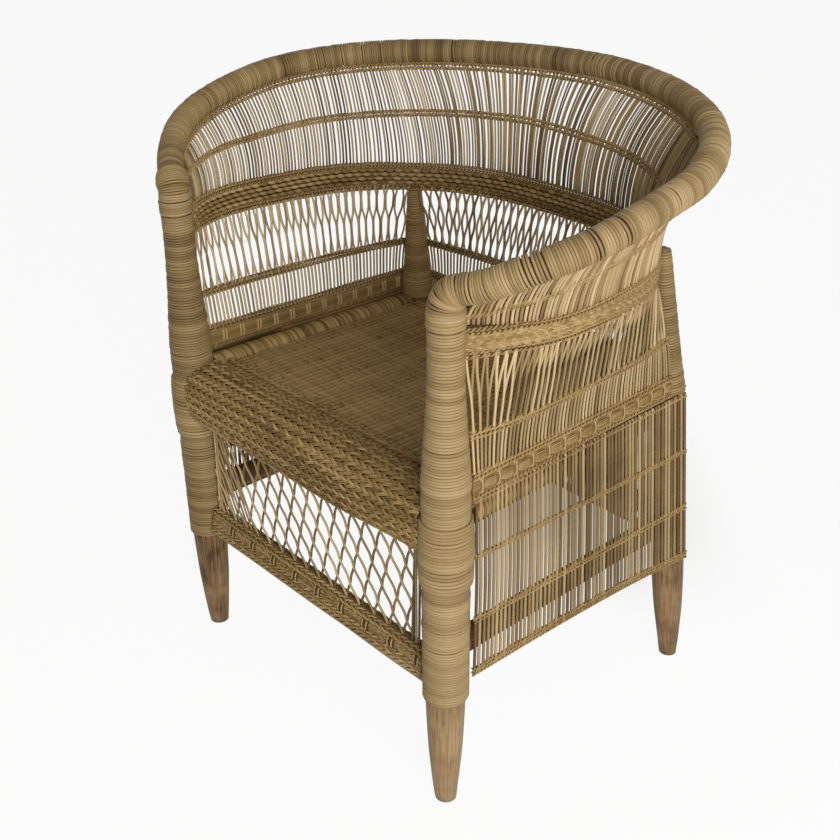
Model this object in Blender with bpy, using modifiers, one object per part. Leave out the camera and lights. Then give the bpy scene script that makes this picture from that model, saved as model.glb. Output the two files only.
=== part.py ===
"""Woven cane tub armchair: turned posts, wound hoop arm, woven seat, stake screens and skirts."""
import math

import bmesh
import bpy
from mathutils import Vector

# Sizes in metres, +Z up, the sitter faces -Y.

# Fits
CLEARANCE = 0.0003
SEAM = 0.0005

# Post axes on the floor and their lean for each metre of height
FRONT_FOOT_X = 0.231
FRONT_FOOT_Y = -0.2229
FRONT_LEAN_Y = -0.0172
BACK_FOOT_X = 0.2406
BACK_FOOT_Y = 0.1851
BACK_LEAN_X = -0.0515
BACK_LEAN_Y = -0.0975

# Front leg, bare wood
FRONT_FOOT_RADIUS = 0.0125
FRONT_ANKLE_RADIUS = 0.0197
FRONT_ANKLE_Z = 0.080
FRONT_LEG_RADIUS = 0.0225
FRONT_LEG_Z = 0.150
FRONT_TAPER_Z = 0.430
FRONT_NECK_RADIUS = 0.0152
FRONT_NECK_Z = 0.540
FRONT_TOP_Z = 0.610

# Back leg, bare wood
BACK_FOOT_RADIUS = 0.0115
BACK_ANKLE_RADIUS = 0.0185
BACK_ANKLE_Z = 0.080
BACK_LEG_RADIUS = 0.0205
BACK_LEG_Z = 0.140
BACK_TAPER_Z = 0.400
BACK_TIP_RADIUS = 0.0052
BACK_TOP_Z = 0.582

# Cane wound on the posts
FRONT_WRAP_THICKNESS = 0.0034
FRONT_WRAP_BOTTOM_Z = 0.152
FRONT_WRAP_TOP_Z = 0.5945
BACK_WRAP_THICKNESS = 0.0022
BACK_WRAP_BOTTOM_Z = 0.408
BACK_WRAP_TOP_Z = 0.581

# Lashings
CANE_RADIUS = 0.0020
LASH_LOOPS = 7
LASH_PITCH = 0.0055
LASH_BOTTOM_Z = 0.302
COLLAR_LOOPS = 3
COLLAR_PITCH = 0.0046
LOOP_POINTS = 14

# Rails and stretchers
TENON_RADIUS = 0.0092
TENON_DEPTH = 0.0105
FRONT_RAIL_RADIUS = 0.0145
FRONT_RAIL_Z = 0.362
SIDE_RAIL_RADIUS = 0.0140
SIDE_RAIL_Z = 0.382
BACK_RAIL_RADIUS = 0.0142
BACK_RAIL_Z = 0.358
FRONT_STRETCHER_RADIUS = 0.0125
FRONT_STRETCHER_Z = 0.1655
SIDE_STRETCHER_RADIUS = 0.0138
SIDE_STRETCHER_Z = 0.213
BACK_STRETCHER_RADIUS = 0.0132
BACK_STRETCHER_Z = 0.222

# Seat
DECK_TOP_Z = 0.394
DECK_THICKNESS = 0.008
DECK_RIBS = 51
DECK_RIB_HEIGHT = 0.0018
DECK_SAG = 0.0040
DECK_SPANS = 2
FRONT_ROLL_DEPTH = 0.066
FRONT_ROLL_HEIGHT = 0.083
FRONT_ROLL_Y = -0.2224
FRONT_ROLL_Z = 0.3630
FRONT_ROLL_POWER = 2.8
KNIT_CORDS = 40
KNIT_DEPTH = 0.0018
SIDE_ROLL_RADIUS = 0.0185
SIDE_ROLL_END_GAP = 0.0095
BACK_ROLL_DEPTH = 0.040
BACK_ROLL_HEIGHT = 0.066
BACK_ROLL_Z = 0.3665
BACK_ROLL_POWER = 2.6
BACK_ROLL_STEPS = 18

# Front lattice and the woven band below it
LATTICE_THICKNESS = 0.0042
LATTICE_COLUMNS = 11
LATTICE_ROWS = 2
LATTICE_BAR = 0.0046
LATTICE_BORDER = 0.0050
FRONT_BAND_DEPTH = 0.0150
FRONT_BAND_HEIGHT = 0.0180
FRONT_BAND_POWER = 3.5
FRONT_BAND_STEPS = 12

# Walls above the seat
WALL_THICKNESS = 0.0050
LADDER_BOTTOM_Z = 0.4035
LADDER_TOP_Z = 0.4290
LADDER_FRONT_X = 0.2475
CORNER_REACH = 0.0090
BACK_LADDER_SET = 0.0100
LADDER_SPANS = 4
NARROW_BAND_Z = 0.4765
NARROW_BAND_HEIGHT = 0.0090
SCREEN_BORDER = 0.0060
SIDE_STAKES = 10
BACK_STAKES = 12
STAKE_WIDTH = 0.0060
SCREEN_POST_GAP = 0.0025
SCREEN_DROP = 0.0022
SCREEN_POWER = 1.5
MID_BOTTOM_Z = 0.5575
MID_TOP_Z = 0.5945
MID_THICKNESS = 0.0080
MID_FRONT_X = 0.2370
SIDE_BULGE_LOW = 0.056
SIDE_BULGE_HIGH = 0.064
BACK_BULGE_LOW = 0.060
BACK_BULGE_HIGH = 0.068
BULGE_POWER = 3.0
MID_TRIM = 0.0005
MID_SIDE_SPANS = 14
MID_BACK_SPANS = 16

# Flared screen between the middle band and the hoop
FLARE_THICKNESS = 0.0040
FLARE_STAKES = 7
FLARE_STAKE_WIDTH = 0.0068
FLARE_POWER = 2.4
FLARE_BAND_AT = 0.46
FLARE_BAND_SHARE = 0.10
FLARE_BORDER_SHARE = 0.08
FLARE_TRIM = 0.0008
FLARE_MIDDLE_TRIM = 0.0005
FLARE_FRONT_START = 0.055
FLARE_POST_AT = 0.598
FLARE_LIFT = 0.0005
FLARE_SEAT_IN = 0.62
FLARE_SEAT_DOWN = 0.80
FLARE_SIGHT = 0.02

# Hoop
HOOP_CORE_RADIUS = 0.0122
HOOP_WRAP_RADIUS = 0.0153
HOOP_HALF_WIDTH = 0.3405
HOOP_SIDE_Y = -0.0306
HOOP_BACK_DEPTH = 0.2746
HOOP_ROUNDNESS = 1.665
HOOP_ARM_POWER = 3.646
HOOP_FRONT_X = 0.2360
HOOP_FRONT_Y = -0.2319
HOOP_FRONT_Z = 0.6242
HOOP_BACK_Z = 0.7364
HOOP_RISE_POWER = 3.42
HOOP_NECK_HEIGHT = 0.003
HOOP_ELBOW_AT = 0.05
HOOP_ELBOW_RISE = 0.45
HOOP_ELBOW_REACH = 0.38
HOOP_ELBOW_SIGHT = 0.01
HOOP_ELBOW_STEPS = 6
HOOP_STATIONS = 16
HOOP_ARM_STEPS = 120
HOOP_ARM_SPREAD = 1.4
HOOP_BEND_STEPS = 160

# Skirts below the seat
SKIRT_THICKNESS = 0.0048
SKIRT_TOP_Z = 0.4030
SKIRT_FRONT_Y = -0.2030
SKIRT_HEM_FRONT_Z = 0.178
SKIRT_HEM_BACK_Z = 0.163
SKIRT_HEM_HEIGHT = 0.011
SKIRT_BAND_HEIGHT = 0.010
SKIRT_UPPER_BAND_FRONT_Z = 0.330
SKIRT_UPPER_BAND_BACK_Z = 0.320
SKIRT_LOWER_BAND_FRONT_Z = 0.249
SKIRT_LOWER_BAND_BACK_Z = 0.238
SKIRT_STAKE_WIDTH = 0.0066
SIDE_SKIRT_STAKES = 9
BACK_SKIRT_STAKES = 10

# Roundness of the turned, bent and wound pieces
ROUND_STEPS = 14
FINE_STEPS = 720
HOOP_TUBE_STEPS = 2
CANE_TUBE_STEPS = 1
SMOOTH_ANGLE = math.radians(40)

# Finishes
DARK_WOOD = (0.16, 0.075, 0.035)
LEG_WOOD = (0.40, 0.22, 0.11)
CANE = (0.46, 0.30, 0.15)
PALE_CANE = (0.56, 0.39, 0.21)
SEAT_CANE = (0.34, 0.21, 0.11)
BAND_CANE = (0.38, 0.24, 0.12)
WOOD_ROUGHNESS = 0.5
WRAP_ROUGHNESS = 0.55
WEAVE_ROUGHNESS = 0.6


def clear_scene():
    for thing in list(bpy.data.objects):
        bpy.data.objects.remove(thing, do_unlink=True)


clear_scene()
CHAIR = bpy.data.collections.new("woven_cane_tub_chair")
bpy.context.scene.collection.children.link(CHAIR)
CUTTERS = bpy.data.collections.new("cutters")
bpy.context.scene.collection.children.link(CUTTERS)


def make_material(name, colour, roughness):
    material = bpy.data.materials.new(name)
    material.use_nodes = True
    shader = material.node_tree.nodes["Principled BSDF"]
    shader.inputs["Base Color"].default_value = (*colour, 1.0)
    shader.inputs["Roughness"].default_value = roughness
    shader.inputs["Metallic"].default_value = 0.0
    return material


def add_mesh(name, mesh, group):
    piece = bpy.data.objects.new(name, mesh)
    group.objects.link(piece)
    return piece


def dress(piece, colour, roughness):
    piece.data.materials.append(make_material(piece.name + "_finish", colour, roughness))


def smooth(piece):
    piece.data.shade_smooth()
    piece.data.set_sharp_from_angle(angle=SMOOTH_ANGLE)


def lerp(a, b, part):
    return a + (b - a) * part


def front_axis(z):
    return Vector((FRONT_FOOT_X, FRONT_FOOT_Y + FRONT_LEAN_Y * z, z))


def back_axis(z):
    return Vector((BACK_FOOT_X + BACK_LEAN_X * z, BACK_FOOT_Y + BACK_LEAN_Y * z, z))


def mirrored(point, side):
    return Vector((point.x * side, point.y, point.z))


def between(rows, z):
    for (radius_a, z_a), (radius_b, z_b) in zip(rows, rows[1:]):
        if z <= z_b:
            part = max(0.0, (z - z_a) / (z_b - z_a))
            return radius_a + (radius_b - radius_a) * part
    return rows[-1][0]


FRONT_ROWS = [
    (FRONT_FOOT_RADIUS, 0.0),
    (FRONT_ANKLE_RADIUS, FRONT_ANKLE_Z),
    (FRONT_LEG_RADIUS, FRONT_LEG_Z),
    (FRONT_LEG_RADIUS, FRONT_TAPER_Z),
    (FRONT_NECK_RADIUS, FRONT_NECK_Z),
    (FRONT_NECK_RADIUS, FRONT_TOP_Z),
]
BACK_ROWS = [
    (BACK_FOOT_RADIUS, 0.0),
    (BACK_ANKLE_RADIUS, BACK_ANKLE_Z),
    (BACK_LEG_RADIUS, BACK_LEG_Z),
    (BACK_LEG_RADIUS, BACK_TAPER_Z),
    (BACK_TIP_RADIUS, BACK_TOP_Z),
]


def front_wrap_radius(z):
    return between(FRONT_ROWS, z) + CLEARANCE + FRONT_WRAP_THICKNESS


def back_wrap_radius(z):
    return between(BACK_ROWS, z) + CLEARANCE + BACK_WRAP_THICKNESS


def spin(name, rows, group):
    """Profile rows of (radius, height) from low to high, spun round the local Z axis."""
    mesh = bpy.data.meshes.new(name)
    points = [(radius, 0.0, height) for radius, height in reversed(rows)]
    edges = [(i, i + 1) for i in range(len(points) - 1)]
    mesh.from_pydata(points, edges, [])
    piece = add_mesh(name, mesh, group)
    screw = piece.modifiers.new("spin", "SCREW")
    screw.axis = "Z"
    screw.angle = 2.0 * math.pi
    screw.steps = ROUND_STEPS
    screw.render_steps = ROUND_STEPS
    screw.use_merge_vertices = True
    screw.merge_threshold = 0.00001
    screw.use_smooth_shade = True
    return piece


def bake(piece):
    """Replace the piece's source shape by the plain mesh its modifiers give."""
    bpy.context.view_layer.update()
    depsgraph = bpy.context.evaluated_depsgraph_get()
    mesh = bpy.data.meshes.new_from_object(piece.evaluated_get(depsgraph))
    name = piece.name
    place = piece.matrix_world.copy()
    group = piece.users_collection[0]
    bpy.data.objects.remove(piece, do_unlink=True)
    shape = bmesh.new()
    shape.from_mesh(mesh)
    bmesh.ops.remove_doubles(shape, verts=shape.verts, dist=0.000005)
    bmesh.ops.recalc_face_normals(shape, faces=shape.faces)
    shape.to_mesh(mesh)
    shape.free()
    mesh.materials.clear()
    baked = add_mesh(name, mesh, group)
    baked.matrix_world = place
    return baked


def lean(piece, axis, side):
    """Shear an upright turned piece along its post axis so that level sections stay round."""
    for vertex in piece.data.vertices:
        centre = mirrored(axis(vertex.co.z), side)
        vertex.co.x += centre.x
        vertex.co.y += centre.y


def aim(piece, start, end):
    piece.location = start
    piece.rotation_mode = "QUATERNION"
    piece.rotation_quaternion = (end - start).to_track_quat("Z", "Y")


def cut(piece, cutter):
    step = piece.modifiers.new("cut", "BOOLEAN")
    step.operation = "DIFFERENCE"
    step.object = cutter
    step.solver = "EXACT"


def peg_cutter(name, start, end, radius, low, high):
    cutter = spin(name, [(0.0, low), (radius, low), (radius, high), (0.0, high)], CUTTERS)
    aim(cutter, start, end)
    cutter.hide_render = True
    cutter.display_type = "WIRE"
    return cutter


def side_name(side):
    return "right" if side > 0 else "left"


# Legs and the cane wound on them

LEGS = {}
WRAPS = {}


def make_leg(name, rows, axis, side, colour):
    solid = [(0.0, rows[0][1])] + rows + [(0.0, rows[-1][1])]
    leg = bake(spin(name, solid, CHAIR))
    lean(leg, axis, side)
    dress(leg, colour, WOOD_ROUGHNESS)
    return leg


def make_wrap(name, rows, axis, side, thickness, low, high):
    levels = [low] + [z for _, z in rows if low < z < high] + [high]
    profile = [(between(rows, z) + CLEARANCE + thickness, z) for z in levels]
    sleeve = spin(name, profile, CHAIR)
    shell = sleeve.modifiers.new("wall", "SOLIDIFY")
    shell.thickness = thickness
    shell.offset = -1.0
    sleeve = bake(sleeve)
    lean(sleeve, axis, side)
    dress(sleeve, CANE, WRAP_ROUGHNESS)
    return sleeve


for side in (1, -1):
    where = side_name(side)
    LEGS["front", side] = make_leg("front_leg_" + where, FRONT_ROWS, front_axis, side, LEG_WOOD)
    LEGS["back", side] = make_leg("back_leg_" + where, BACK_ROWS, back_axis, side, LEG_WOOD)
    WRAPS["front", side] = make_wrap(
        "front_leg_wrap_" + where, FRONT_ROWS, front_axis, side,
        FRONT_WRAP_THICKNESS, FRONT_WRAP_BOTTOM_Z, FRONT_WRAP_TOP_Z)
    WRAPS["back", side] = make_wrap(
        "back_leg_wrap_" + where, BACK_ROWS, back_axis, side,
        BACK_WRAP_THICKNESS, BACK_WRAP_BOTTOM_Z, BACK_WRAP_TOP_Z)


# Seat rails and stretchers with round tenons in the legs


def post_radius(post, z):
    return between(FRONT_ROWS if post == "front" else BACK_ROWS, z)


def post_axis(post, side, z):
    point = front_axis(z) if post == "front" else back_axis(z)
    return mirrored(point, side)


def shoulder_gap(post, z, radius, along):
    """Room left before a shoulder, so that a leaning post does not run into its edge."""
    lean_here = post_axis(*post, z + radius) - post_axis(*post, z)
    return abs(lean_here.x * along.x + lean_here.y * along.y) + SEAM


def make_rail(name, first, second, z, radius, colour):
    start = post_axis(*first, z)
    end = post_axis(*second, z)
    length = (end - start).length
    along = (end - start).normalized()
    near = post_radius(first[0], z)
    far = post_radius(second[0], z)
    near_shoulder = near + shoulder_gap(first, z, radius, along)
    far_shoulder = far + shoulder_gap(second, z, radius, along)
    rows = [
        (0.0, near - TENON_DEPTH),
        (TENON_RADIUS, near - TENON_DEPTH),
        (TENON_RADIUS, near_shoulder),
        (radius, near_shoulder),
        (radius, length - far_shoulder),
        (TENON_RADIUS, length - far_shoulder),
        (TENON_RADIUS, length - far + TENON_DEPTH),
        (0.0, length - far + TENON_DEPTH),
    ]
    rail = spin(name, rows, CHAIR)
    aim(rail, start, end)
    dress(rail, colour, WOOD_ROUGHNESS)
    reach = near + FRONT_WRAP_THICKNESS * 3.0
    ends = ((first, 0.0, near, 1.0), (second, length, far, -1.0))
    for post, base, leg_radius, way in ends:
        inner = base + way * (leg_radius - TENON_DEPTH - CLEARANCE)
        outer = base + way * reach
        low = min(inner, outer)
        high = max(inner, outer)
        label = name + "_" + post[0] + "_" + side_name(post[1])
        mortise = peg_cutter(label + "_mortise", start, end, TENON_RADIUS + CLEARANCE, low, high)
        cut(LEGS[post], mortise)
        if post[0] == "front":
            inner = base + way * leg_radius * 0.5
            low = min(inner, outer)
            high = max(inner, outer)
            hole = peg_cutter(label + "_hole", start, end, radius + CLEARANCE, low, high)
            cut(WRAPS[post], hole)
    return rail


make_rail("seat_rail_front", ("front", -1), ("front", 1), FRONT_RAIL_Z, FRONT_RAIL_RADIUS, DARK_WOOD)
make_rail("seat_rail_back", ("back", -1), ("back", 1), BACK_RAIL_Z, BACK_RAIL_RADIUS, DARK_WOOD)
make_rail("stretcher_front", ("front", -1), ("front", 1), FRONT_STRETCHER_Z, FRONT_STRETCHER_RADIUS, CANE)
make_rail("stretcher_back", ("back", -1), ("back", 1), BACK_STRETCHER_Z, BACK_STRETCHER_RADIUS, DARK_WOOD)
for side in (1, -1):
    where = side_name(side)
    make_rail("seat_rail_" + where, ("front", side), ("back", side),
              SIDE_RAIL_Z, SIDE_RAIL_RADIUS, DARK_WOOD)
    make_rail("stretcher_" + where, ("front", side), ("back", side),
              SIDE_STRETCHER_Z, SIDE_STRETCHER_RADIUS, DARK_WOOD)


# Flat outlines given a thickness


def outline_solid(name, loops, half_thickness, colour, roughness):
    curve = bpy.data.curves.new(name, "CURVE")
    curve.dimensions = "2D"
    curve.fill_mode = "BOTH"
    curve.extrude = half_thickness
    for loop in loops:
        spline = curve.splines.new("POLY")
        spline.points.add(len(loop) - 1)
        for point, (x, y) in zip(spline.points, loop):
            point.co = (x, y, 0.0, 1.0)
        spline.use_cyclic_u = True
    piece = bpy.data.objects.new(name, curve)
    CHAIR.objects.link(piece)
    piece = bake(piece)
    dress(piece, colour, roughness)
    return piece


def ring_loop(centre_x, centre_y, radius, steps):
    loop = []
    for i in range(steps):
        angle = 2.0 * math.pi * i / steps
        loop.append((centre_x + radius * math.cos(angle), centre_y + radius * math.sin(angle)))
    return loop


def rounded_loop(half_width, half_height, power, steps):
    loop = []
    for i in range(steps):
        angle = 2.0 * math.pi * i / steps
        c = math.cos(angle)
        s = math.sin(angle)
        x = half_width * math.copysign(abs(c) ** (2.0 / power), c)
        y = half_height * math.copysign(abs(s) ** (2.0 / power), s)
        loop.append((x, y))
    return loop


def ribbed_loop(half_width, half_height, power, ribs, depth):
    """Rounded outline with evenly spaced ribs whose tops lie on it."""
    fine = rounded_loop(half_width, half_height, power, FINE_STEPS)
    fine.append(fine[0])
    lengths = [0.0]
    for one, two in zip(fine, fine[1:]):
        lengths.append(lengths[-1] + math.dist(one, two))
    loop = []
    at = 0
    for i in range(2 * ribs):
        target = lengths[-1] * i / (2 * ribs)
        while lengths[at + 1] <= target:
            at += 1
        step = lengths[at + 1] - lengths[at]
        part = (target - lengths[at]) / step
        (x0, y0), (x1, y1) = fine[at], fine[at + 1]
        inset = depth * (i % 2) / step
        loop.append((lerp(x0, x1, part) - (y1 - y0) * inset, lerp(y0, y1, part) + (x1 - x0) * inset))
    return loop


def lay_along_x(piece, y, z):
    """Turn a flat outline drawn in (depth, height) so that its thickness runs along X."""
    for vertex in piece.data.vertices:
        depth, height, across = vertex.co
        vertex.co = (across, depth + y, height + z)


# Seat: front roll, side rolls, back roll and the woven deck

lash_reach = (front_wrap_radius(LASH_BOTTOM_Z) + CLEARANCE + CANE_RADIUS) / math.cos(math.pi / LOOP_POINTS)
lash_outer = lash_reach + CANE_RADIUS
front_rail_y = front_axis(FRONT_RAIL_Z).y
front_roll_end = FRONT_FOOT_X - lash_outer - SEAM
roll_loops = [
    ribbed_loop(FRONT_ROLL_DEPTH / 2.0, FRONT_ROLL_HEIGHT / 2.0, FRONT_ROLL_POWER,
                KNIT_CORDS, KNIT_DEPTH),
    ring_loop(front_rail_y - FRONT_ROLL_Y, FRONT_RAIL_Z - FRONT_ROLL_Z,
              FRONT_RAIL_RADIUS + SEAM, ROUND_STEPS),
]
front_roll = outline_solid("seat_front_roll", roll_loops, front_roll_end, SEAT_CANE, WEAVE_ROUGHNESS)
lay_along_x(front_roll, FRONT_ROLL_Y, FRONT_ROLL_Z)
smooth(front_roll)

back_rail = back_axis(BACK_RAIL_Z)
back_roll_end = back_rail.x - BACK_LEG_RADIUS - SIDE_ROLL_END_GAP
back_loops = [
    rounded_loop(BACK_ROLL_DEPTH / 2.0, BACK_ROLL_HEIGHT / 2.0, BACK_ROLL_POWER, BACK_ROLL_STEPS),
    ring_loop(0.0, BACK_RAIL_Z - BACK_ROLL_Z, BACK_RAIL_RADIUS + SEAM, ROUND_STEPS),
]
back_roll = outline_solid("seat_back_roll", back_loops, back_roll_end, SEAT_CANE, WEAVE_ROUGHNESS)
lay_along_x(back_roll, back_rail.y, BACK_ROLL_Z)
smooth(back_roll)

side_rail_front = front_axis(SIDE_RAIL_Z)
side_rail_back = back_axis(SIDE_RAIL_Z)
side_rail_length = (side_rail_back - side_rail_front).length


def side_rail_x(y):
    part = (y - side_rail_front.y) / (side_rail_back.y - side_rail_front.y)
    return lerp(side_rail_front.x, side_rail_back.x, part)


for side in (1, -1):
    start = mirrored(side_rail_front, side)
    end = mirrored(side_rail_back, side)
    low = front_wrap_radius(SIDE_RAIL_Z) + SIDE_ROLL_END_GAP
    high = side_rail_length - BACK_LEG_RADIUS - SIDE_ROLL_END_GAP
    profile = [(SIDE_ROLL_RADIUS, low), (SIDE_ROLL_RADIUS, high)]
    sleeve = spin("seat_edge_roll_" + side_name(side), profile, CHAIR)
    shell = sleeve.modifiers.new("wall", "SOLIDIFY")
    shell.thickness = SIDE_ROLL_RADIUS - SIDE_RAIL_RADIUS - CLEARANCE
    shell.offset = -1.0
    aim(sleeve, start, end)
    sleeve = bake(sleeve)
    dress(sleeve, SEAT_CANE, WEAVE_ROUGHNESS)

deck_front_y = FRONT_ROLL_Y + FRONT_ROLL_DEPTH / 2.0 + SEAM
deck_back_y = back_rail.y - BACK_ROLL_DEPTH / 2.0 - SEAM
deck_low = DECK_TOP_Z - DECK_THICKNESS
roll_rise = deck_low - SIDE_RAIL_Z
roll_inset = math.sqrt(SIDE_ROLL_RADIUS ** 2 - roll_rise ** 2) + SEAM


def deck_point(across, along, drop):
    """Across runs from -1 to 1 between the side rolls, along from -1 at the front to 1 at the back."""
    y = lerp(deck_front_y, deck_back_y, (along + 1.0) / 2.0)
    sag = DECK_SAG * (1.0 - across * across) * (1.0 - along * along)
    return Vector(((side_rail_x(y) - roll_inset) * across, y, DECK_TOP_Z - sag - drop))


ribbed = bmesh.new()
bmesh.ops.create_grid(ribbed, x_segments=2 * DECK_RIBS, y_segments=DECK_SPANS, size=1.0)
for vertex in ribbed.verts:
    column = round((vertex.co.x + 1.0) * DECK_RIBS)
    valley = DECK_RIB_HEIGHT if column % 2 == 0 else 0.0
    vertex.co = deck_point(vertex.co.x, vertex.co.y, valley)
grown = bmesh.ops.extrude_face_region(ribbed, geom=ribbed.faces[:], use_keep_orig=True)
under = [item for item in grown["geom"] if isinstance(item, bmesh.types.BMVert)]
bmesh.ops.translate(ribbed, verts=under, vec=(0.0, 0.0, DECK_RIB_HEIGHT - DECK_THICKNESS))
bmesh.ops.recalc_face_normals(ribbed, faces=ribbed.faces)
deck_mesh = bpy.data.meshes.new("seat_deck")
ribbed.to_mesh(deck_mesh)
ribbed.free()
dress(add_mesh("seat_deck", deck_mesh, CHAIR), SEAT_CANE, WEAVE_ROUGHNESS)


# Front band on the stretcher and the lattice between it and the roll

front_panel_y = front_axis(FRONT_STRETCHER_Z).y
band_half = FRONT_FOOT_X - front_wrap_radius(FRONT_STRETCHER_Z) - SEAM
band_low = FRONT_STRETCHER_Z + FRONT_STRETCHER_RADIUS + SEAM
band_loop = rounded_loop(FRONT_BAND_DEPTH / 2.0, FRONT_BAND_HEIGHT / 2.0,
                         FRONT_BAND_POWER, FRONT_BAND_STEPS)
front_band = outline_solid("front_woven_band", [band_loop], band_half, BAND_CANE, WEAVE_ROUGHNESS)
lay_along_x(front_band, front_panel_y, band_low + FRONT_BAND_HEIGHT / 2.0)


def clip_level(loop, level, keep_above):
    """Keep the part of a loop above or below a level."""
    kept = []
    for (x0, z0), (x1, z1) in zip(loop, loop[1:] + loop[:1]):
        inside = (z0 >= level) if keep_above else (z0 <= level)
        next_inside = (z1 >= level) if keep_above else (z1 <= level)
        if inside:
            kept.append((x0, z0))
        if inside != next_inside:
            part = (level - z0) / (z1 - z0)
            kept.append((x0 + (x1 - x0) * part, level))
    return kept


lattice_half = FRONT_FOOT_X - lash_outer - SEAM
lattice_low = band_low + FRONT_BAND_HEIGHT + SEAM
lattice_high = FRONT_ROLL_Z - FRONT_ROLL_HEIGHT / 2.0 - SEAM
column_pitch = 2.0 * (lattice_half - LATTICE_BORDER) / LATTICE_COLUMNS
row_pitch = (lattice_high - lattice_low) / LATTICE_ROWS
slope = math.hypot(column_pitch, row_pitch)
hole_half_x = column_pitch / 2.0 - LATTICE_BAR * slope / (2.0 * row_pitch)
hole_half_z = row_pitch / 2.0 - LATTICE_BAR * slope / (2.0 * column_pitch)
lattice_loops = [[
    (-lattice_half, lattice_low),
    (lattice_half, lattice_low),
    (lattice_half, lattice_high),
    (-lattice_half, lattice_high),
]]
for row in range(2 * LATTICE_ROWS + 1):
    shift = 0.5 if row % 2 else 1.0
    count = LATTICE_COLUMNS if row % 2 else LATTICE_COLUMNS - 1
    for column in range(count):
        x = -lattice_half + LATTICE_BORDER + (column + shift) * column_pitch
        z = lattice_low + row * row_pitch / 2.0
        hole = [(x, z - hole_half_z), (x + hole_half_x, z), (x, z + hole_half_z), (x - hole_half_x, z)]
        hole = clip_level(hole, lattice_low + LATTICE_BORDER, True)
        hole = clip_level(hole, lattice_high - LATTICE_BORDER, False)
        if len(hole) > 2:
            lattice_loops.append(hole)
lattice = outline_solid("front_lattice", lattice_loops, LATTICE_THICKNESS / 2.0, PALE_CANE, WEAVE_ROUGHNESS)
for vertex in lattice.data.vertices:
    across, height, depth = vertex.co
    vertex.co = (across, front_panel_y - depth, height)


# Stake screens: a grid of stakes and bands laid on a curved surface


def stake_lines(low, high, stakes, width):
    """Edges of the stakes along the panel, the first and last stake flush with its ends."""
    lines = []
    for i in range(stakes):
        left = low + (high - low - width) * i / (stakes - 1)
        lines.append(left)
        lines.append(left + width)
    return lines


def make_panel(name, surface, columns, rows, open_rows, thickness, colour):
    """A cell is open between stakes (odd columns) in the rows named as open."""
    across = len(columns) - 1
    up = len(rows) - 1
    shape = bmesh.new()
    bmesh.ops.create_grid(shape, x_segments=across, y_segments=up, size=0.5)
    gaps = []
    for face in shape.faces:
        centre = face.calc_center_median()
        column = int((centre.x + 0.5) * across)
        row = int((centre.y + 0.5) * up)
        if column % 2 == 1 and row in open_rows:
            gaps.append(face)
    bmesh.ops.delete(shape, geom=gaps, context="FACES")
    for vertex in shape.verts:
        column = round((vertex.co.x + 0.5) * across)
        row = round((vertex.co.y + 0.5) * up)
        vertex.co = surface(columns[column], rows[row])
    mesh = bpy.data.meshes.new(name)
    shape.to_mesh(mesh)
    shape.free()
    panel = add_mesh(name, mesh, CHAIR)
    shell = panel.modifiers.new("thickness", "SOLIDIFY")
    shell.thickness = thickness
    shell.offset = 0.0
    dress(panel, colour, WEAVE_ROUGHNESS)
    return panel


# Ladder bands at seat height

ladder_mid_z = (LADDER_BOTTOM_Z + LADDER_TOP_Z) / 2.0
half_wall = WALL_THICKNESS / 2.0
ladder_post = back_axis(LADDER_BOTTOM_Z)
ladder_inset = (back_wrap_radius(BACK_WRAP_BOTTOM_Z) + CLEARANCE + half_wall) * math.sqrt(0.5)
ladder_back_x = ladder_post.x + ladder_inset
ladder_front_y = front_axis(LADDER_TOP_Z).y + front_wrap_radius(FRONT_TAPER_Z) + SEAM
back_ladder_y = back_axis(ladder_mid_z).y + BACK_LADDER_SET
ladder_end_y = ladder_post.y - ladder_inset


def ladder_side_x(y):
    return lerp(LADDER_FRONT_X, ladder_back_x, (y - ladder_front_y) / (ladder_end_y - ladder_front_y))


def even_lines(low, high, count):
    return [low + (high - low) * i / count for i in range(count + 1)]


for side in (1, -1):
    make_panel(
        "ladder_band_" + side_name(side),
        lambda y, z, s=side: (s * ladder_side_x(y), y, z),
        even_lines(ladder_front_y, ladder_end_y, LADDER_SPANS),
        [LADDER_BOTTOM_Z, LADDER_TOP_Z], (), WALL_THICKNESS, BAND_CANE)


def back_ladder_end(z):
    """Where the back ladder band stops, beside the cane on the back post."""
    axis = back_axis(z)
    behind = back_ladder_y - half_wall - axis.y
    return axis.x - math.sqrt(back_wrap_radius(z) ** 2 - behind ** 2) - CLEARANCE


make_panel(
    "ladder_band_back",
    lambda t, z: (t * back_ladder_end(z), back_ladder_y, z),
    even_lines(-1.0, 1.0, LADDER_SPANS),
    [LADDER_BOTTOM_Z, LADDER_TOP_Z], (), WALL_THICKNESS, BAND_CANE)


# Middle plaited bands, bulging between the posts and passing inside the back posts


def mid_share(z):
    return (z - MID_BOTTOM_Z) / (MID_TOP_Z - MID_BOTTOM_Z)


def mid_front(z):
    return Vector((MID_FRONT_X, front_axis(z).y + front_wrap_radius(z) + SEAM, z))


def mid_post(z):
    axis = back_axis(z)
    inset = (back_wrap_radius(MID_BOTTOM_Z) + CLEARANCE + MID_THICKNESS / 2.0) * math.sqrt(0.5)
    return Vector((axis.x - inset, axis.y - inset, z))


def mid_side(t, z):
    point = mid_front(z).lerp(mid_post(z), t)
    bulge = lerp(SIDE_BULGE_LOW, SIDE_BULGE_HIGH, mid_share(z))
    point.x += bulge * (1.0 - abs(2.0 * t - 1.0) ** BULGE_POWER)
    return point


def mid_back(t, z):
    """Back span, t from -1 at the left post to 1 at the right post."""
    post = mid_post(z)
    bulge = lerp(BACK_BULGE_LOW, BACK_BULGE_HIGH, mid_share(z))
    return Vector((post.x * t, post.y + bulge * (1.0 - abs(t) ** BULGE_POWER), z))


def side_point(point, side):
    return (point.x * side, point.y, point.z)


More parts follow.
